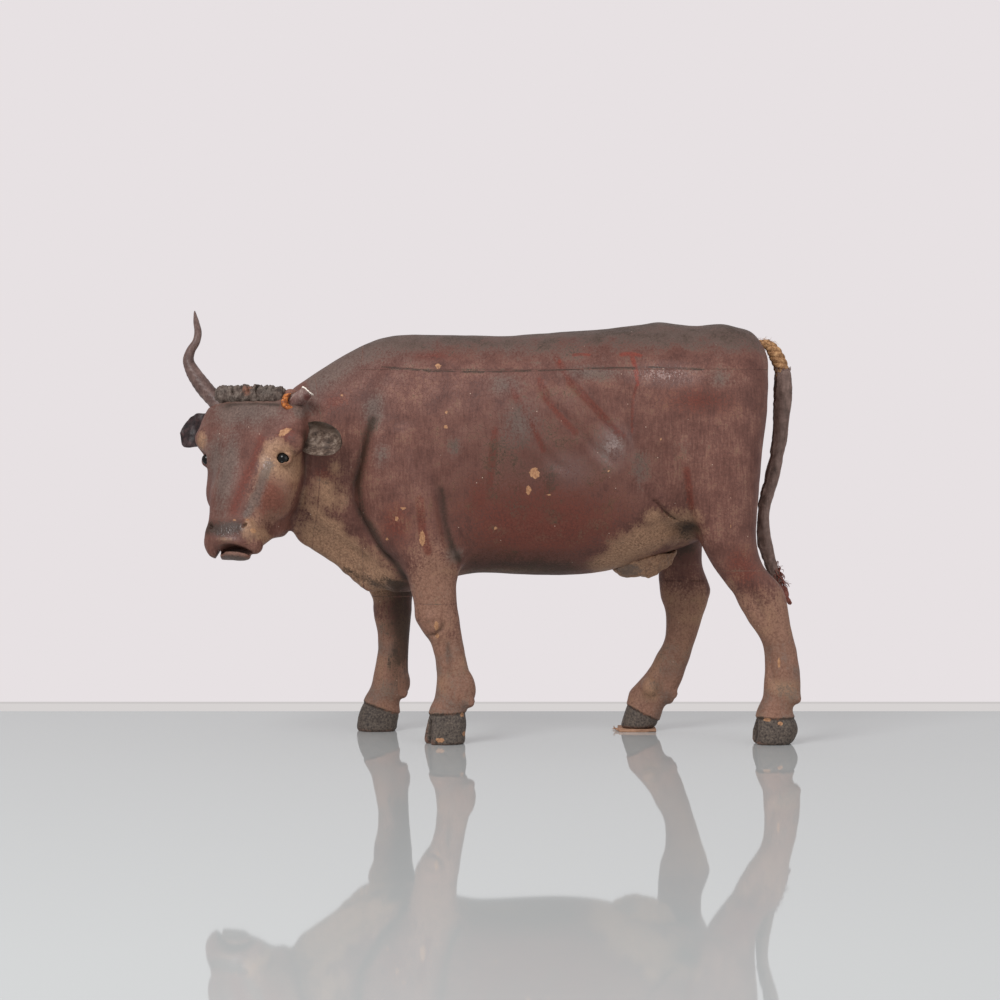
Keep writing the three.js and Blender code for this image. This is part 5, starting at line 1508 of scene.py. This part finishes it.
eye_glass = finish("eye_glass", ("#040303", "#090706", "#120d0b"), mottle=3.0, rough=0.12, bump=0.0)
print("finishes:", len(bpy.data.materials))

# %% Masks of the small pieces
points = points_of(pouch.mesh)
masks = body_masks(points, normals_of(pouch.mesh))
masks["ochre"] = np.full(len(points), 0.9)
masks["dust"] = patch(points[:, [0, 2]], (74, 98), (10, 6)) - 0.1
# Painted shade in the fold between the lump and the belly.
masks["grime_and_shade"] = stroke(points[:, [0, 2]], [(66, 103), (76, 106), (90, 109)], 1.2)
lay(pouch.mesh, masks)
points = points_of(stub.mesh)
lay(stub.mesh, {
    "chip": 1.5 * fade((points - BREAK_AT) @ BREAK_WAY, -1.2, -0.5) - 0.5,
    "red": patch(points[:, [0, 2]], (-109, 197), (2.6, 2.4)),
})
local = in_head(points_of(curls.mesh))
lay(curls.mesh, {
    "chip": patch(local[:, [0, 2]], (-3.5, 1), (4.5, 5)),
    "dust": noise(local, 4, 111) + 0.3 * fade(local[:, 2], -2, 2),
})

# %% Show everything
SHARP = math.radians(40)  # edges that turn by more stay sharp


def show(name, mesh, material, node, body="carving"):
    """A piece with its finish that stands for a CAD node."""
    mesh.name = name
    mesh.shade_smooth()
    mesh.set_sharp_from_angle(angle=SHARP)
    mesh.materials.clear()
    mesh.materials.append(material)
    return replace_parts(piece(name, mesh, body), node)


for node, mesh in carved.items():
    block = show("carved_" + node, mesh, painted_wood, node)
show("near_ear_leaf", ears["left_ear"], near_leather, "left_ear")
show("far_ear_leaf", ears["right_ear"], shaded_far_leather, "right_ear")
for node, mesh in balls.items():
    show(node + "_ball", mesh, eye_glass, node)
show("whole_horn", horn, horn_paint, "right_horn")
show("broken_horn", stub.mesh, stub_paint, "left_horn_stub")
show("poll_curls", curls.mesh, curl_paint, "poll_tuft")
socket.materials.append(torn_wood)
piece("torn_socket", socket)
show("groin_lump", pouch.mesh, painted_wood, "groin_pouch")
show("base_slip", slip_mesh, slip_wood, "sole_slip")
show("twisted_rope", rope, rope_fibre, "tail_rope", "tail")
show("leather_sleeve", sleeve, sleeve_leather, "tail_sleeve", "tail")
show("tail_hair", tuft, hair_paint, "tail_tuft", "tail")
for name, obj in nodes.items():
    if name.endswith(("_dowel", "_peg")):
        for slot in obj.material_slots:
            slot.material = bare_wood

# %% [markdown]
# ## Shelf and wall
# The figure stands on a pale glass shelf that ends a hand's breadth behind it. Glass reflects more
# the flatter one looks at it, so the legs mirror softly. The wall is far away, and for the camera
# it is just a pale colour; for everything else the room's light stays as it is.

# %% Build the shelf
SHELF_BACK = 132.0
EDGE_BACK, LINE_BACK = 176, 190  # mm, the far ends of the shelf's ground edge and of its dark line
WIDE, FAR_WALL = 2500, 4000  # mm to each side


def for_camera(tree, usual, shown, output):
    """Shows one shader to the camera alone, and the usual one to everything else."""
    rays = add(tree, "LightPath").outputs
    both = add(tree, "MixShader", {0: rays["Is Camera Ray"], 1: usual.outputs[0],
                                   2: shown.outputs[0]})
    tree.links.new(both.outputs[0], tree.nodes[output].inputs["Surface"])


def plane(name, x_from, x_to, y_from, y_to, z, material):
    """A flat level rectangle of the stage, given in mm."""
    mesh = bpy.data.meshes.new(name)
    corners = [(x_from, y_from, z), (x_to, y_from, z), (x_to, y_to, z), (x_from, y_to, z)]
    mesh.from_pydata([tuple((np.array(c) + ZERO) * MM) for c in corners], [], [(0, 1, 2, 3)])
    mesh.materials.append(material)
    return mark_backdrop(seen(name, mesh))


def stage_finish(name, code, rough, ior=1.5, glow=0.0):
    """A plain finish of the stage; glow adds its own light for the camera alone."""
    material = bpy.data.materials.new(name)
    material.use_nodes = True
    shader = material.node_tree.nodes["Principled BSDF"]
    shader.inputs["Base Color"].default_value = srgb(code)
    shader.inputs["Roughness"].default_value = rough
    shader.inputs["IOR"].default_value = ior
    shader.inputs["Specular Tint"].default_value = (0.88, 0.95, 0.95, 1)
    if glow:
        tree = material.node_tree
        light = add(tree, "Emission", {"Color": srgb(code), "Strength": glow})
        for_camera(tree, shader, light, "Material Output")
    return material


WALL = "#e7e1e3"
plane("shelf", -WIDE, WIDE, -WIDE, SHELF_BACK, 0.0,
      stage_finish("shelf_glass", "#bdc0c0", 0.03, 1.9))
plane("shelf_edge", -WIDE, WIDE, SHELF_BACK, EDGE_BACK, -0.2,
      stage_finish("shelf_edge_glass", "#d6d2d1", 0.5, 1.3, 1.0))
plane("shelf_line", -WIDE, WIDE, EDGE_BACK, LINE_BACK, -0.4,
      stage_finish("shelf_line_glass", "#cbc7c6", 0.5, 1.3, 1.0))
plane("wall_colour", -FAR_WALL, FAR_WALL, -FAR_WALL, 1.5 * FAR_WALL, -3.0,
      stage_finish("wall_paint", WALL, 0.9, 1.3, 1.0))
tree = world.node_tree
pale = add(tree, "Background", {"Color": srgb(WALL), "Strength": 1.0})
for_camera(tree, tree.nodes["Background"], pale, "World Output")
